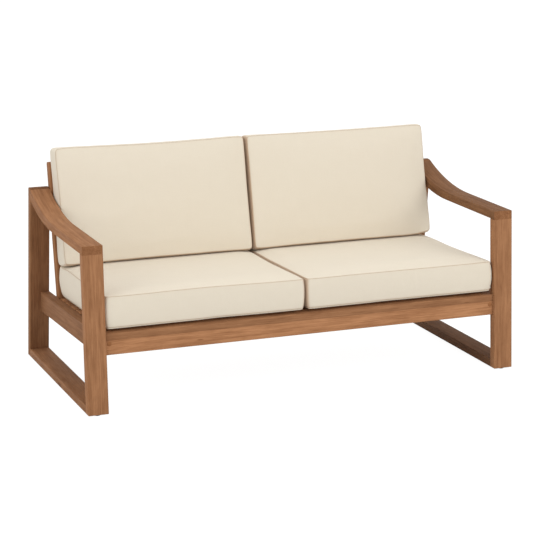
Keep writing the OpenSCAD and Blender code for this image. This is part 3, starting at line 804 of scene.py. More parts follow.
def turned(outline, socket, sides):
    """A turned piece: (radius, height) points from its top to its tip, with a six-sided socket."""
    bm = bmesh.new()
    half = math.pi / 6

    def ring(radius, height, six=False):
        verts = []
        for i in range(sides):
            a = 2 * math.pi * i / sides
            r = radius / math.cos(a % (2 * half) - half) * math.cos(half) if six else radius
            verts.append(bm.verts.new((r * math.cos(a), r * math.sin(a), height)))
        return verts

    rings = [ring(r, z) for r, z in outline]
    (radius, depth), top = socket, outline[0][1]
    rings = [ring(radius * 0.97, top - depth, True), ring(radius, top, True)] + rings
    bm.faces.new(rings[0])
    for a, b in zip(rings, rings[1:]):
        for i in range(sides):
            j = (i + 1) % sides
            bm.faces.new((a[i], b[i], b[j], a[j]))
    bm.faces.new(list(reversed(rings[-1])))
    bmesh.ops.recalc_face_normals(bm, faces=bm.faces)
    for face in bm.faces:
        face.smooth = True
    for edge in bm.edges:
        edge.smooth = edge.calc_face_angle(0) < math.radians(35)
    return from_bmesh("fastener", bm)


def threaded(root, crest, start, end, pitch):
    """Ridges of a thread, as points of a turned outline: root, crest and root of each turn."""
    count = max(1, round((start - end) / pitch))
    step = (start - end) / count
    return [(radius, start - step * (i + part)) for i in range(count)
            for radius, part in ((root, 0.1), (crest, 0.5), (root, 0.9))]


def countersunk(d, long):
    """Outline of a wood screw with a flat head twice its shank."""
    return ([(d * 0.93, 0), (d, -0.06 * d), (d * 0.5, -0.62 * d), (d * 0.5, -0.35 * long)]
            + threaded(d * 0.36, d * 0.5, -0.36 * long, -long + 4 * MM, 2.2 * MM)
            + [(d * 0.08, -long)])


def socket_bolt(d, long, head):
    """Outline of a bolt with a round head as high as its shank is thick."""
    return ([(head - 0.6 * MM, 0), (head, -0.6 * MM), (head, -d), (d / 2, -d),
             (d / 2, -0.55 * long)]
            + threaded(d * 0.42, d * 0.5, -0.56 * long, -long + 1.5 * MM, 1.2 * MM)
            + [(d * 0.36, -long)])


def place_fasteners(node, outline, socket):
    """Steel fasteners of one outline, where a CAD node has its own."""
    fastener = turned(outline, socket, settings("metal").segments)
    points, axes = zip(*fastener_places(node))
    piece = from_points(node + "_turned", points)
    store(piece.data, "heading", "FLOAT_VECTOR", "POINT", axes)
    grow(piece, fastener_tree(), fastener=fastener, seed=len(node), finish=finishes()["steel"])
    bpy.data.objects.remove(fastener)
    placed(piece, "frame", "steel", node)


# ---------------------------------------------------------------- cushions

# Where each cushion departs from a perfect box: a centre in shares of its half-width,
# half-length and height, how far the change reaches in metres, and the shift there in mm.
# A back cushion's X runs to the left, its Y down and its Z forward.
DENTS = {
    "left_seat": (
        ((-0.12, -1, 1), (0.22, 0.09, 0.06), (0, 0, 4.5)),
        ((-1, -1, 1), (0.10, 0.10, 0.05), (0, 0, 3)),
        ((0, 0.68, 1), (0.45, 0.10, 0.06), (0, 0, 8)),
        ((1, -0.2, 1), (0.02, 0.5, 0.035), (3, 0, 0)),
        ((1, -1, 0), (0.02, 0.1, 0.03), (2, 0, 0)),
        ((-1, 1, 0), (0.06, 0.09, 0.05), (4, -1, 0)),
        ((0.15, -1, 0), (0.05, 0.03, 0.02), (0, 0.5, 1.8)),
        ((-0.9, 0.8, 1), (0.05, 0.03, 0.05), (0, 0, -3)),
    ),
    "right_seat": (
        ((0, 0.68, 1), (0.45, 0.10, 0.06), (0, 0, 8)),
        ((-1, -0.2, 1), (0.02, 0.5, 0.035), (-3, 0, 0)),
        ((1, -1, 0.5), (0.04, 0.06, 0.05), (1, 0, 0)),
        ((-0.5, -1, 0), (0.06, 0.03, 0.02), (0, 0.5, -1.5)),
        ((0.3, -1, 1), (0.2, 0.07, 0.05), (0, 0, -1.5)),
    ),
    "left_back": (
        ((1, 0, 0), (0.03, 0.5, 0.04), (1.5, 0, 0)),
        ((1, -0.7, 1), (0.035, 0.3, 0.04), (3, 0, 0)),
        ((-1, 0.3, 1), (0.03, 0.3, 0.05), (-2.5, 0, 0)),
        ((1, -1, 1), (0.02, 0.02, 0.03), (-1, 1, 0)),
        ((-0.2, -1, 1), (0.2, 0.05, 0.05), (0, 1.5, 0)),
    ),
    "right_back": (
        ((1, 0.3, 1), (0.03, 0.35, 0.05), (3, 0, 0)),
        ((-1, 1, 1), (0.055, 0.06, 0.09), (0, -9, 0)),
        ((-1, 0.55, 0.9), (0.04, 0.18, 0.05), (-4, 0, 0)),
        ((-1, -1, 1), (0.04, 0.3, 0.04), (1, 0, 0)),
        ((-1, 0.1, 0.6), (0.03, 0.03, 0.06), (2.5, 0, 0)),
        ((0.3, -1, 1), (0.25, 0.05, 0.05), (0, -1, 0)),
    ),
}
# A cover's panels: the axes that each spans, and where its cloth starts on the roll
PANELS = {"upper": ((0, 1), 0.013), "lower": ((0, 1), 0.837), "front": ((0, 2), 1.71),
          "back": ((0, 2), 2.57), "left": ((1, 2), 3.43), "right": ((1, 2), 4.31)}
# A crown is part a flat top and part a round one: each one's share and power
CROWN = ((0.65, 10), (0.35, 2))
# Cells that the lower panel's rim is drawn over, and cells of it that lie at its full rise
DRAWN_CELLS, RIM_CELLS = 1.4, 0.8
# Rise of that rim as a share of the lower seam's height, and that seam's share on a back cushion
RIM_RISE, STANDING_SEAM = 0.55, 0.6
# The rounding of a back cushion's lower front edge: share of its thickness, and length
ROLL_SHARE, ROLL_REACH = 0.2, 45 * MM
# How firmly the cloth step holds the seams, and the panel that the cushion lies on
SEAM_HOLD, UNDER_HOLD = 1.0, 0.7
# The cloth step's settings
CLOTH = {"quality": 5, "tension_stiffness": 12, "compression_stiffness": 12,
         "shear_stiffness": 5, "bending_stiffness": 0.4, "vertex_group_mass": "held",
         "pin_stiffness": 1, "use_pressure": True}
# Waves of the cloth: how many to a metre, and their share
WAVES = ((7, 1), (19, 0.45))
# The noise module takes its seed from the clock unless it is given one
NOISE_SEED = 5
# How full the padded pieces are
COVER_FILL, FOAM_FILL = 0.85, 1
# The foam's distance from its cover, its crown's share of the cover's, and its edges' radius
FOAM_INSET, FOAM_CROWN, FOAM_EDGE = 16 * MM, 0.6, 6 * MM


def smooth_step(value):
    value = np.clip(value, 0, 1)
    return value * value * (3 - 2 * value)


class Form:
    """A box cushion in its own space: X across, Y along, Z up from what it lies on."""

    def __init__(self, node, tilt, thick, wedge, standing, pads):
        self.pads, self.standing = pads, standing
        turn = tilt.to_3x3()
        co = coords(NODES[node].data) @ np.array(turn)
        self.low, self.high = co.min(0), co.max(0)
        middle = (self.low + self.high) / 2
        corner = np.array([middle[0], middle[1], self.low[2] - pads.clear])
        self.low, self.high = self.low - corner, self.high - corner
        self.w, self.l = (2 * (self.high - pads.swell))[:2]
        self.t, self.wedge = thick, wedge
        self.matrix = Matrix.Translation(turn @ Vector(corner)) @ tilt

    def seam_z(self, y):
        """Height of the upper seam."""
        return self.t + self.wedge * (1 + 2 * y / self.l) / 2

    def puff(self, x, y, power):
        return (np.clip(1 - np.abs(2 * x / self.w) ** power, 0, 1)
                * np.clip(1 - np.abs(2 * y / self.l) ** power, 0, 1))

    def place(self, u, v, h, level):
        """A point at shares u and v of the outline and h of the height.

        Level is 0 on the lower panel, 1 on the border and 2 on the upper panel.
        """
        pads, a, b = self.pads, self.w / 2, self.l / 2
        x, y = (2 * u - 1) * a, (2 * v - 1) * b
        inset = np.stack([a - np.abs(x), b - np.abs(y)], 1)
        rim = inset < 1e-6
        flat = np.stack([x, y], 1)
        side = np.sign(flat)
        # The lower panel's outer cells are drawn towards its rim, where it wraps round the foam
        drawn = side * inset * (1 - inset / (inset + DRAWN_CELLS * pads.cell))
        flat += (level == 0)[:, None] * drawn
        bow = 1 - (flat[:, ::-1] / np.array([b, a])) ** 2
        pulled = flat * (1 - pads.pull / np.array([a, b]) * bow)
        # Corners: rounded outline, and seams drawn in over and under it
        rounding = pads.corner * (1 - math.sqrt(0.5))
        pulled -= np.where(rim.all(1), rounding, 0)[:, None] * side
        near = np.exp(-(inset ** 2).sum(1) / pads.corner_reach ** 2)
        tuck = pads.corner_tuck * (2 * h - 1) ** 2
        pulled -= (near * tuck)[:, None] * side
        out = np.where(level == 1, 4 * pads.swell * h * (1 - h), 0)[:, None]
        px, py = (pulled + out * np.where(rim, side, 0)).T
        # Heights of the three panels
        low = pads.lower_seam * (STANDING_SEAM if self.standing else 1)
        top = self.seam_z(y)
        crown = pads.start * pads.crown * sum(
            part * self.puff(x, y, power) for part, power in CROWN)
        wrap = smooth_step(1 - (inset.min(1) - RIM_CELLS * pads.cell) / pads.lower_wrap)
        under = pads.clear + RIM_RISE * low * wrap
        border = low + (top - low) * h
        z = np.where(level == 2, top + crown, np.where(level == 0, under, border))
        if self.standing:
            py = py - (pads.roll * smooth_step((z / top - (1 - ROLL_SHARE)) / ROLL_SHARE)
                       * smooth_step((y - b) / ROLL_REACH + 1))
        return np.stack([px, py, z], 1)


def cushion_cover(name, form):
    """The cover as a closed grid of cells, with its seams marked and the cloth's map in metres.

    Returns it with the place of each vertex in the grid.
    """
    pads = form.pads
    nx, ny, nz = (round(size / pads.cell) for size in (form.w, form.l, form.t))
    bm = bmesh.new()
    weave = bm.loops.layers.uv.new("weave")
    verts = {}

    def vert(key):
        if key not in verts:
            verts[key] = bm.verts.new((0, 0, 0))
        return verts[key]

    def face(panel, *corners):
        made = bm.faces.new([vert(c) for c in corners])
        made.smooth = True
        (across, up), start = PANELS[panel]
        for loop, c in zip(made.loops, corners):
            full = (c[0] / nx * form.w, c[1] / ny * form.l, c[2] / nz * form.t)
            loop[weave].uv = (full[across] + start, full[up] + start)

    for i in range(nx):
        for j in range(ny):
            face("upper", (i, j, nz), (i + 1, j, nz), (i + 1, j + 1, nz), (i, j + 1, nz))
            face("lower", (i, j, 0), (i, j + 1, 0), (i + 1, j + 1, 0), (i + 1, j, 0))
    for k in range(nz):
        for i in range(nx):
            face("front", (i, 0, k), (i + 1, 0, k), (i + 1, 0, k + 1), (i, 0, k + 1))
            face("back", (i, ny, k), (i, ny, k + 1), (i + 1, ny, k + 1), (i + 1, ny, k))
        for j in range(ny):
            face("left", (0, j, k), (0, j, k + 1), (0, j + 1, k + 1), (0, j + 1, k))
            face("right", (nx, j, k), (nx, j + 1, k), (nx, j + 1, k + 1), (nx, j, k + 1))
    keys = np.array(list(verts))
    shares = keys / (nx, ny, nz)
    rim = ((shares[:, :2] == 0) | (shares[:, :2] == 1)).any(1)
    level = np.where(rim, 1, 2 * shares[:, 2]).astype(int)
    for made, place in zip(verts.values(), form.place(*shares.T, level)):
        made.co = place
    on_seam = rim & np.isin(keys[:, 2], (0, nz))
    bm.verts.index_update()
    for edge in bm.edges:
        a, b = (v.index for v in edge.verts)
        edge.seam = bool(on_seam[a] and on_seam[b] and keys[a, 2] == keys[b, 2])
    cover = from_bmesh(name, bm)
    held = cover.vertex_groups.new(name="held")
    for chosen, weight in ((on_seam, SEAM_HOLD), (~rim & (keys[:, 2] == 0), UNDER_HOLD)):
        held.add(np.flatnonzero(chosen).tolist(), weight, "REPLACE")
    return cover, keys


def fill_covers(made, pads):
    """Lets air pressure round the covers between their seams, all of them at once."""
    scene = bpy.context.scene
    start = {cover: coords(cover.data) for cover, _ in made}
    for cover in start:
        cloth = cover.modifiers.new("air", "CLOTH")
        cloth.point_cache.frame_start, cloth.point_cache.frame_end = 1, pads.frames
        cloth.collision_settings.use_collision = False
        for key, value in CLOTH.items():
            setattr(cloth.settings, key, value)
        cloth.settings.shrink_min = -pads.slack
        cloth.settings.uniform_pressure_force = pads.pressure
        cloth.settings.effector_weights.gravity = 0
    for step in range(1, pads.frames + 1):
        scene.frame_set(step)
    for cover in start:
        baked(cover)
    scene.frame_set(1)
    for cover, keys in made:
        border = (keys[:, 2] > 0) & (keys[:, 2] < keys[:, 2].max())
        cap = np.where(border, pads.border_cap, pads.cap)[:, None]
        move = coords(cover.data) - start[cover]
        reach = np.linalg.norm(move, axis=1, keepdims=True) + 1e-9
        set_coords(cover.data, start[cover] + move / reach * cap * np.tanh(reach / cap))


def uneven(form, co, name):
    """The small waves and dents of a sewn cover, and the shallow channel where its zip lies."""
    pads, a, b = form.pads, form.w / 2, form.l / 2
    noise.seed_set(NOISE_SEED)
    seed = Vector((len(name) * 1.7, sum(map(ord, name)) * 0.13, 0.4))
    waves = np.array([sum((noise.noise_vector(Vector(p) * many + seed) * pads.waves * part
                           for many, part in WAVES), Vector()) for p in co])
    waves[co[:, 2] < 0.35 * pads.lower_seam] = 0
    moved = co + waves
    for centre, reach, shift in DENTS[name]:
        middle = np.array(centre) * (a, b, form.t)
        far = (((co - middle) / reach) ** 2).sum(1)
        moved += np.exp(-far)[:, None] * (np.array(shift) * MM)
    near = (np.exp(-(2 * np.abs(moved[:, 0]) / (pads.zip_l + 30 * MM)) ** 8)
            * np.exp(-(np.abs(moved[:, 2] - form.t / 2) / (2.6 * pads.tape)) ** 4))
    moved[:, 1] -= pads.zip_depth * near * (moved[:, 1] > b - 8 * MM)
    return moved


def settle(form, co, keys, tops):
    """Lets a standing cushion sink onto the tops of those that it stands on."""
    pads, lift = form.pads, 40 * MM
    nx, ny, nz = keys.max(0)
    down = (form.matrix.to_3x3() @ Vector((0, 1, 0))).normalized()
    # The room under each point of the lower border, and between points that nothing is under
    room = np.full((nx + 1, nz + 1), np.nan)
    for n in np.flatnonzero(keys[:, 1] == ny):
        start = form.matrix @ Vector(co[n]) - down * lift
        hits = [hit[3] for hit in (top.ray_cast(start, down, 90 * MM) for top in tops)
                if hit[0] is not None]
        if hits:
            room[keys[n, 0], keys[n, 2]] = min(hits) - lift - pads.rest_gap
    for row in (*room.T, *room):
        known = np.flatnonzero(~np.isnan(row))
        if len(known):
            row[:] = np.interp(np.arange(len(row)), known, row[known])
    # Its front edge stays up, and its stiff foam bridges what is lower than most of the rest
    room[:, -2:] -= np.array([0.25, 1]) * pads.front_gap
    stiff = float(np.percentile(room[2:-2], 40)) + pads.give
    room = np.clip(room, -pads.sink, min(stiff, pads.sink))
    fall = smooth_step(1 - (form.l / 2 - co[:, 1]) / (80 * MM))
    moved = co.copy()
    moved[:, 1] += room[keys[:, 0], keys[:, 2]] * fall
    return moved


def sew_seams(cover, pads):
    """Sinks a groove along each seam, marks it for painted shade, and keeps the line in its bottom
    for the stitches.
    """
    bm = bmesh.new()
    bm.from_mesh(cover.data)
    depth = bm.verts.layers.float.new("seam")
    made = bmesh.ops.bevel(
        bm, geom=[e for e in bm.edges if e.seam], offset=pads.seam, offset_type="OFFSET",
        segments=2, profile=0.7, affect="EDGES", clamp_overlap=True)
    bm.normal_update()
    new = set(made["faces"])
    sunk = [v for v in made["verts"] if v.is_valid and all(f in new for f in v.link_faces)]
    # The seam values paint the grooves' shade into the cloth's colour: full at their bottoms,
    # faint at their edges
    for v in made["verts"]:
        v[depth] = 0.12
    for v in sunk:
        v[depth] = 1
    keep = {v: i for i, v in enumerate(sunk)}
    edges = [(keep[e.verts[0]], keep[e.verts[1]]) for e in bm.edges
             if e.verts[0] in keep and e.verts[1] in keep]
    for v, place in [(v, v.co - v.normal * pads.groove) for v in sunk]:
        v.co = place
    line = [v.co.copy() for v in sunk]
    for f in bm.faces:
        f.smooth = True
    bm.to_mesh(cover.data)
    bm.free()
    return line, edges


def paint_gap_shade(cover, form):
    """Marks cloth that faces another cushion, near its seam, for painted shade, warm like light
    bounced between the cushions.
    """
    pads, mesh = form.pads, cover.data
    co, normals = coords(mesh), vectors(mesh.vertices, "normal")
    inwards = -math.copysign(1, form.matrix.translation.x)
    faces = inwards * (normals @ np.array(form.matrix.to_3x3()).T)[:, 0]
    # A back cushion's lower rim, which faces the seat, takes it too: painted shade along the line
    # under the cushion
    if form.standing:
        faces = np.maximum(faces, normals[:, 1])
    far = np.minimum(form.seam_z(co[:, 1]) - co[:, 2], co[:, 1] + form.l / 2) / pads.gap_reach
    shade = smooth_step((faces - 0.2) / 0.6) * np.exp(-far ** 2)
    store(mesh, "gap", "FLOAT", "POINT", pads.gap_share * shade)


def finish_piece(piece, form, body, slot, *nodes, finish=None, fill=None):
    """Brings a cushion's piece from its own space into the frame, coats it if it is given a
    finish, attaches it to its body and hides the CAD nodes that it stands for.
    """
    if finish:
        coat(piece, finish)
    piece.data.transform(form.matrix)
    piece.data.update()
    placed(piece, body, slot, *nodes)


def make_cushions(kind, tilt, thick, wedge=0, standing=False):
    """Both cushions of one kind, with their covers, stitches, foam cores and zips."""
    pads = settings("cushions")
    forms = {s: Form(f"{s}_{kind}_cover", tilt, thick, wedge, standing, pads) for s in SIDES}
    made = {s: cushion_cover(f"{s}_{kind}_cushion_cover", forms[s]) for s in SIDES}
    fill_covers(list(made.values()), pads)
    tops = [search_tree(bpy.data.objects[f"{s}_seat_cushion_cover"].data) for s in SIDES
            if standing]
    for side in SIDES:
        form, (cover, keys) = forms[side], made[side]
        name, body = f"{side}_{kind}", f"{side}_{kind}_cushion"
        co = uneven(form, coords(cover.data), name)
        co = np.clip(co, form.low + (0, 0, pads.clear), form.high)
        set_coords(cover.data, settle(form, co, keys, tops) if standing else co)
        line, edges = sew_seams(cover, pads)
        fine = cover.modifiers.new("fine", "SUBSURF")
        fine.levels = fine.render_levels = 1
        baked(cover)
        paint_gap_shade(cover, form)
        skin = search_tree(cover.data)
        near = [skin.find_nearest(p) for p in line]
        stitches = from_points(
            name + "_stitches", [hit[0] + hit[1] * pads.thread_r * 0.4 for hit in near], edges)
        grow(stitches, stitch_tree(), pitch=pads.pitch, thread_radius=pads.thread_r,
             finish=finishes()["thread"])
        make_zip(name, form, skin, body)
        finish_piece(cover, form, body, "cushion_fabric", name + "_cover",
                     finish="cushion_fabric", fill=COVER_FILL)
        finish_piece(stitches, form, body, "cushion_fabric")
        finish_piece(make_foam(name + "_foam_core", form), form, body, "foam", name + "_foam",
                     finish="foam", fill=FOAM_FILL)


def make_foam(name, form):
    """The foam core: a block with a crowned top and soft edges, inside its cover."""
    low = FOAM_INSET * 0.5
    bm = bmesh.new()
    bmesh.ops.create_cube(bm, size=1)
    bmesh.ops.subdivide_edges(bm, edges=bm.edges, cuts=10, use_grid_fill=True)
    for v in bm.verts:
        x, y = v.co.x * (form.w - 2 * FOAM_INSET), v.co.y * (form.l - 2 * FOAM_INSET)
        puff = float(form.puff(np.array(x), np.array(y), 4))
        high = form.seam_z(y) - FOAM_INSET + form.pads.crown * FOAM_CROWN * puff
        v.co = (x, y, low + (high - low) * (v.co.z + 0.5))
    for face in bm.faces:
        face.smooth = True
    foam = from_bmesh(name, bm)
    bevel = foam.modifiers.new("edges", "BEVEL")
    bevel.width, bevel.segments, bevel.angle_limit = FOAM_EDGE, 3, math.radians(50)
    return baked(foam)


# ---------------------------------------------------------------- zips

# A tooth in shares of its size: a foot that grips the tape and a narrower head
TOOTH = ((-0.3, -1), (0.3, -1), (0.33, 0), (0.21, 0.5), (-0.21, 0.5), (-0.33, 0))
TOOTH_DEPTH, TOOTH_EDGE, TOOTH_PITCH = 0.7, 0.1, 0.95
# Body, bridge and pull of a slider: their outlines along and across the zip, and where each
# starts and ends over the cloth, in mm
SLIDER = (
    (((-5, -2.2), (-3, -3.4), (4, -3.4), (5, -2.4), (5, 2.4), (4, 3.4), (-3, 3.4), (-5, 2.2)),
     0.3, 2.2),
    (((-2, -0.8), (3, -0.8), (3, 0.8), (-2, 0.8)), 2.3, 3.2),
    (((1, -1.6), (1, 1.6), (-6, 2), (-15, 2.6), (-17, 1.8), (-17, -1.8), (-15, -2.6), (-6, -2)),
     3.3, 4.1),
)
# Slider's distance from the zip's end, half the gap between the tapes, their lift off the cloth
# and the distance of two points along them
SLIDER_END, TAPE_GAP, TAPE_LIFT, TAPE_STEP = 12 * MM, 0.9 * MM, 0.4 * MM, 5 * MM


def plate(bm, outline, low, high):
    """A flat piece over an outline in X and Z, between two depths in Y."""
    rings = [[bm.verts.new((x, y, z)) for x, z in outline] for y in (low, high)]
    bm.faces.new(rings[0])
    bm.faces.new(list(reversed(rings[1])))
    for i in range(len(outline)):
        j = (i + 1) % len(outline)
        bm.faces.new((rings[0][j], rings[0][i], rings[1][i], rings[1][j]))


def bevelled(name, bm, width):
    bmesh.ops.recalc_face_normals(bm, faces=bm.faces)
    bmesh.ops.bevel(bm, geom=list(bm.edges), offset=width, segments=1, affect="EDGES",
                    clamp_overlap=True)
    return from_bmesh(name, bm)


def rim_of(sheet):
    """The points on the rim of a grid, once round."""
    return [*(row[0] for row in sheet), *sheet[-1][1:],
            *(row[-1] for row in reversed(sheet[:-1])), *reversed(sheet[0][1:-1])]


def make_zip(name, form, skin, body):
    """A zip on the cover's hidden border: two tapes, their teeth and a slider with its pull."""
    pads, middle = form.pads, form.t / 2

    def surface(x, z):
        hit = skin.ray_cast(Vector((x, form.l / 2 + 0.05, z)), Vector((0, -1, 0)), 0.1)[0]
        return hit.y if hit else form.l / 2

    # Tapes: two sheets each, joined along their rims
    count = round(pads.zip_l / TAPE_STEP)
    xs = np.linspace(-pads.zip_l / 2, pads.zip_l / 2, count + 1)
    bm = bmesh.new()
    weave = bm.loops.layers.uv.new("weave")
    for side in (-1, 1):
        across = [side * r for r in (TAPE_GAP, 0.5 * pads.tape, pads.tape)][::-side]
        sheets = [[[bm.verts.new((x, surface(x, middle + r) + up, middle + r)) for r in across]
                   for x in xs] for up in (TAPE_LIFT, -1.2 * TAPE_LIFT)]
        for sheet, turn in zip(sheets, (1, -1)):
            for a, b in zip(sheet, sheet[1:]):
                for n in range(2):
                    bm.faces.new((a[n], a[n + 1], b[n + 1], b[n])[::turn])
        upper, lower = (rim_of(sheet) for sheet in sheets)
        for corners in zip(upper, upper[1:] + upper[:1], lower[1:] + lower[:1], lower):
            bm.faces.new(corners)
    bmesh.ops.recalc_face_normals(bm, faces=bm.faces)
    for f in bm.faces:
        for loop in f.loops:
            loop[weave].uv = (loop.vert.co.x, loop.vert.co.z)
    tape = from_bmesh(name + "_zip_tape", bm)
    # Teeth, along a line in the middle of the gap between the tapes
    size = pads.tooth
    bm = bmesh.new()
    plate(bm, [(x * size, z * size) for x, z in TOOTH], 0, TOOTH_DEPTH * size)
    tooth = bevelled("tooth", bm, TOOTH_EDGE * size)
    line = [(x, surface(x, middle) + TAPE_LIFT * 0.5, middle) for x in xs]
    teeth = from_points(name + "_zip_teeth", line, [(n, n + 1) for n in range(count)])
    grow(teeth, teeth_tree(), tooth=tooth, pitch=TOOTH_PITCH * size, finish=finishes()["brass"])
    bpy.data.objects.remove(tooth)
    # Slider
    x = pads.zip_l / 2 - SLIDER_END
    y = surface(x, middle)
    bm = bmesh.new()
    for outline, low, high in SLIDER:
        plate(bm, [(x + dx * MM, middle + dz * MM) for dx, dz in outline],
              y + low * MM, y + high * MM)
    slider = bevelled(name + "_zip_slider", bm, 0.25 * MM)
    finish_piece(tape, form, body, "zip_tape", name + "_zip", finish="zip_tape")
    finish_piece(teeth, form, body, "brass")
    finish_piece(slider, form, body, "brass", finish="brass")


# ---------------------------------------------------------------- stage

# Lights: name, place and size; they face the bench's middle
LAMPS = (("key", (2.7, -3.7, 2.7), 2.2), ("fill", (-3.8, -1.9, 2.0), 2.6),
         ("top", (0.2, 0.6, 3.8), 3.0))
LAMPS_FACE = Vector((0, 0, 0.4))
SENSOR, FLOOR_HALF, FAR = 36, 20, 100


def add_to_scene(name, data, matrix):
    holder = new_object(name, data)
    holder.matrix_world = matrix
    return holder


def make_camera(stage):
    a, e, r = (math.radians(v) for v in (stage.azimuth, stage.elevation, stage.roll))
    back = Vector((math.sin(a) * math.cos(e), -math.cos(a) * math.cos(e), math.sin(e)))
    right = (-back).cross(Vector((0, 0, 1))).normalized()
    up = right.cross(-back)
    axes = Matrix((right * math.cos(r) + up * math.sin(r),
                   up * math.cos(r) - right * math.sin(r), back)).transposed()
    place = Matrix.Translation(Vector(stage.target) + back * stage.distance)
    camera = add_to_scene("camera", bpy.data.cameras.new("camera"), place @ axes.to_4x4())
    camera.data.sensor_width = SENSOR
    camera.data.lens = stage.lens
    camera.data.clip_end = FAR
    bpy.context.scene.camera = camera


def white_where_seen(t, lit, white, output):
    """Ends a tree: white for the camera and for what gloss and glass show, lit for the rest."""
    path = add(t, "ShaderNodeLightPath").outputs
    seen = calc(t, "MAXIMUM", path["Is Camera Ray"],
                calc(t, "MAXIMUM", path["Is Glossy Ray"], path["Is Transmission Ray"]))
    mix = add(t, "ShaderNodeMixShader", {0: seen, 1: lit, 2: white})
    add(t, output, {"Surface": mix.outputs[0]})


def make_floor(stage):
    h = FLOOR_HALF
    floor = from_points("floor", [(-h, -h, 0), (h, -h, 0), (h, h, 0), (-h, h, 0)],
                        faces=[(0, 1, 2, 3)])
    mat = bpy.data.materials.new("floor")
    mat.use_nodes = True
    t = mat.node_tree
    t.nodes.clear()
    matt, faint = (add(t, "ShaderNodeBsdfDiffuse", {"Color": tint}).outputs[0]
                   for tint in (stage.floor, stage.matt))
    glow = add(t, "ShaderNodeEmission", {"Color": WHITE, "Strength": stage.glow}).outputs[0]
    shadowed = add(t, "ShaderNodeAddShader", {0: faint, 1: glow}).outputs[0]
    white_where_seen(t, matt, shadowed, "ShaderNodeOutputMaterial")
    floor.data.materials.append(mat)


def make_lights(stage):
    world = bpy.context.scene.world or bpy.data.worlds.new("studio")
    bpy.context.scene.world = world
    world.use_nodes = True
    t = world.node_tree
    t.nodes.clear()
    even, white = (add(t, "ShaderNodeBackground", {"Color": WHITE, "Strength": power}).outputs[0]
                   for power in (stage.sky, 1.0))
    white_where_seen(t, even, white, "ShaderNodeOutputWorld")
    for name, place, size in LAMPS:
        lamp = bpy.data.lights.new(name, "AREA")
        lamp.energy, lamp.size = getattr(stage, name), size
        aim = (LAMPS_FACE - Vector(place)).to_track_quat("-Z", "Y").to_matrix().to_4x4()
        add_to_scene(name, lamp, Matrix.Translation(Vector(place)) @ aim)
    bpy.context.scene.view_settings.view_transform = "Standard"


# ---------------------------------------------------------------- operators

class BENCH_OT_side_frames(bpy.types.Operator):
    """Make the two side frames: legs, arms, sled rails and side rails"""
    bl_idname = "bench.side_frames"
    bl_label = "Side frames"

    def execute(self, context):
        # Kind of board, seed of its grain, and its tone at the left and the right. The low tones
        # of the rear legs, the sled rails and the right arm are painted shade, for where those
        # boards lie in shade
        for index, side in enumerate(SIDES):
            for part, kind, seed, tones in (
                    ("front_leg", "front_leg", 11, (0.6, 0.6)),
                    ("rear_leg", "rear_leg", 21, (0.14, 0.14)),
                    ("arm", "arm", 31, (0.5, -0.15)),
                    ("sled_rail", "sled", 41, (0.26, -0.42)),
                    ("side_rail", "seat", 51, (0.12, 0.12))):
                make_board(f"{side}_{part}", kind, seed + index, tone=tones[index])
        return {"FINISHED"}


class BENCH_OT_seat_frame(bpy.types.Operator):
    """Make the seat frame: rails, bearers, slats and plugs"""
    bl_idname = "bench.seat_frame"
    bl_label = "Seat frame"

    def execute(self, context):
        wood = settings("wood")
        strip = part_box("front_rail")[1].z - wood.rail_drop - wood.strip
        make_board("front_rail", "cross", 61, tone=1.0, strip=strip, radius=wood.rail_edge,
                   drop=wood.rail_drop)
        make_board("rear_rail", "cross", 62, "inner_wood")
        for index, place in enumerate(("left_slat", "right_slat", "centre")):
            make_board(place + "_bearer", "seat", 63 + index, "inner_wood")
        make_board("wood_plugs", "cross", 67, "plug_wood", tone=1.0)
        slats = sorted(nodes_with("seat_slat_"))
        make_row("seat_slats", slats, ((len(slats), slats[1]), (1, None)), 71, tone=0.1)
        return {"FINISHED"}


class BENCH_OT_back_frame(bpy.types.Operator):
    """Make the back frame: stiles, crest rails and back slats"""
    bl_idname = "bench.back_frame"
    bl_label = "Back frame"

    def execute(self, context):
        for index, node in enumerate(("left_back_stile", "right_back_stile", "centre_stile")):
            make_board(node, "stile", 81 + index)
        for index, side in enumerate(SIDES):
            make_board(f"{side}_crest_rail", "cross", 85 + index)
        slats = sorted(nodes_with("_back_slat_"))
        steps = (len(slats) // 2, "left_back_slat_2"), (2, "right_back_slat_1")
        make_row("back_slats", slats, steps, 91)
        return {"FINISHED"}


class BENCH_OT_fasteners(bpy.types.Operator):
    """Make the screws and bolts, and finish the inserts, the nut and the brackets"""
    bl_idname = "bench.fasteners"
    bl_label = "Fasteners"

    def execute(self, context):
        # Diameter and length of the screws, and length of the bolts, in mm
        for node, d, long in (("slat_screws", 4, 32), ("bracket_screws", 4, 12),
                              ("rail_screws", 5, 44), ("bearer_screws", 5, 45)):
            d *= MM
            place_fasteners(node, countersunk(d, long * MM), (d * 0.5, d * 0.4))
        d = 6 * MM
        for node, long in (("frame_bolts", 52), ("bearer_bolt", 100)):
            place_fasteners(node, socket_bolt(d, long * MM, d * 0.85), (d * 0.42, d * 0.5))
        for node, finish in (("frame_inserts", "brass"), ("bearer_nut", "steel"),
                             ("corner_brackets", "steel")):
            coat(NODES[node], finish)
        return {"FINISHED"}


class BENCH_OT_foot_glides(bpy.types.Operator):
    """Finish the black foot glides"""
    bl_idname = "bench.foot_glides"
    bl_label = "Foot glides"

    def execute(self, context):
        coat(NODES["foot_glides"], "glide_plastic")
        return {"FINISHED"}


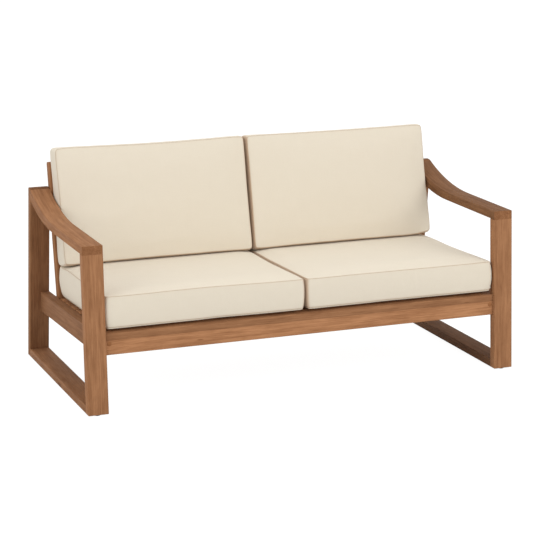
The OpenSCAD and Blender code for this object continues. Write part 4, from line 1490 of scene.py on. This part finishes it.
class BENCH_OT_seat_cushions(bpy.types.Operator):
    """Make the two seat cushions"""
    bl_idname = "bench.seat_cushions"
    bl_label = "Seat cushions"

    def execute(self, context):
        tilt = Matrix.Rotation(-math.radians(SEAT_RAKE), 4, "X")
        make_cushions("seat", tilt, settings("cushions").seat_t)
        return {"FINISHED"}


class BENCH_OT_back_cushions(bpy.types.Operator):
    """Make the two back cushions, which stand on the seat cushions"""
    bl_idname = "bench.back_cushions"
    bl_label = "Back cushions"

    def execute(self, context):
        pads = settings("cushions")
        tilt = (Matrix.Rotation(-math.radians(BACK_RAKE), 4, "X")
                @ Matrix.Rotation(math.pi / 2, 4, "X") @ Matrix.Rotation(math.pi, 4, "Z"))
        make_cushions("back", tilt, pads.back_t, pads.wedge, standing=True)
        return {"FINISHED"}


class BENCH_OT_stage(bpy.types.Operator):
    """Set up the floor, the soft studio light and the camera"""
    bl_idname = "bench.stage"
    bl_label = "Stage"

    def execute(self, context):
        stage = settings("stage")
        make_camera(stage)
        make_floor(stage)
        make_lights(stage)
        return {"FINISHED"}


class BENCH_PT_parts(bpy.types.Panel):
    bl_label = "Patio Bench"
    bl_idname = "BENCH_PT_parts"
    bl_space_type = "VIEW_3D"
    bl_region_type = "UI"
    bl_category = "Bench"

    def draw(self, context):
        for operator in OPERATORS:
            self.layout.operator(operator.bl_idname)


GROUPS = {"wood": BenchWood, "cushions": BenchCushions, "metal": BenchMetal, "stage": BenchStage}
OPERATORS = (BENCH_OT_side_frames, BENCH_OT_seat_frame, BENCH_OT_back_frame, BENCH_OT_fasteners,
             BENCH_OT_foot_glides, BENCH_OT_seat_cushions, BENCH_OT_back_cushions, BENCH_OT_stage)
CLASSES = (*GROUPS.values(), *OPERATORS, BENCH_PT_parts)


def register():
    for item in CLASSES:
        bpy.utils.register_class(item)
    for name, group in GROUPS.items():
        setattr(bpy.types.Scene, "bench_" + name, PointerProperty(type=group))


def unregister():
    for name in GROUPS:
        delattr(bpy.types.Scene, "bench_" + name)
    for item in reversed(CLASSES):
        bpy.utils.unregister_class(item)


def main():
    register()
    for operator in OPERATORS:
        group, name = operator.bl_idname.split(".")
        getattr(getattr(bpy.ops, group), name)()


if __name__ == "__main__":
    main()
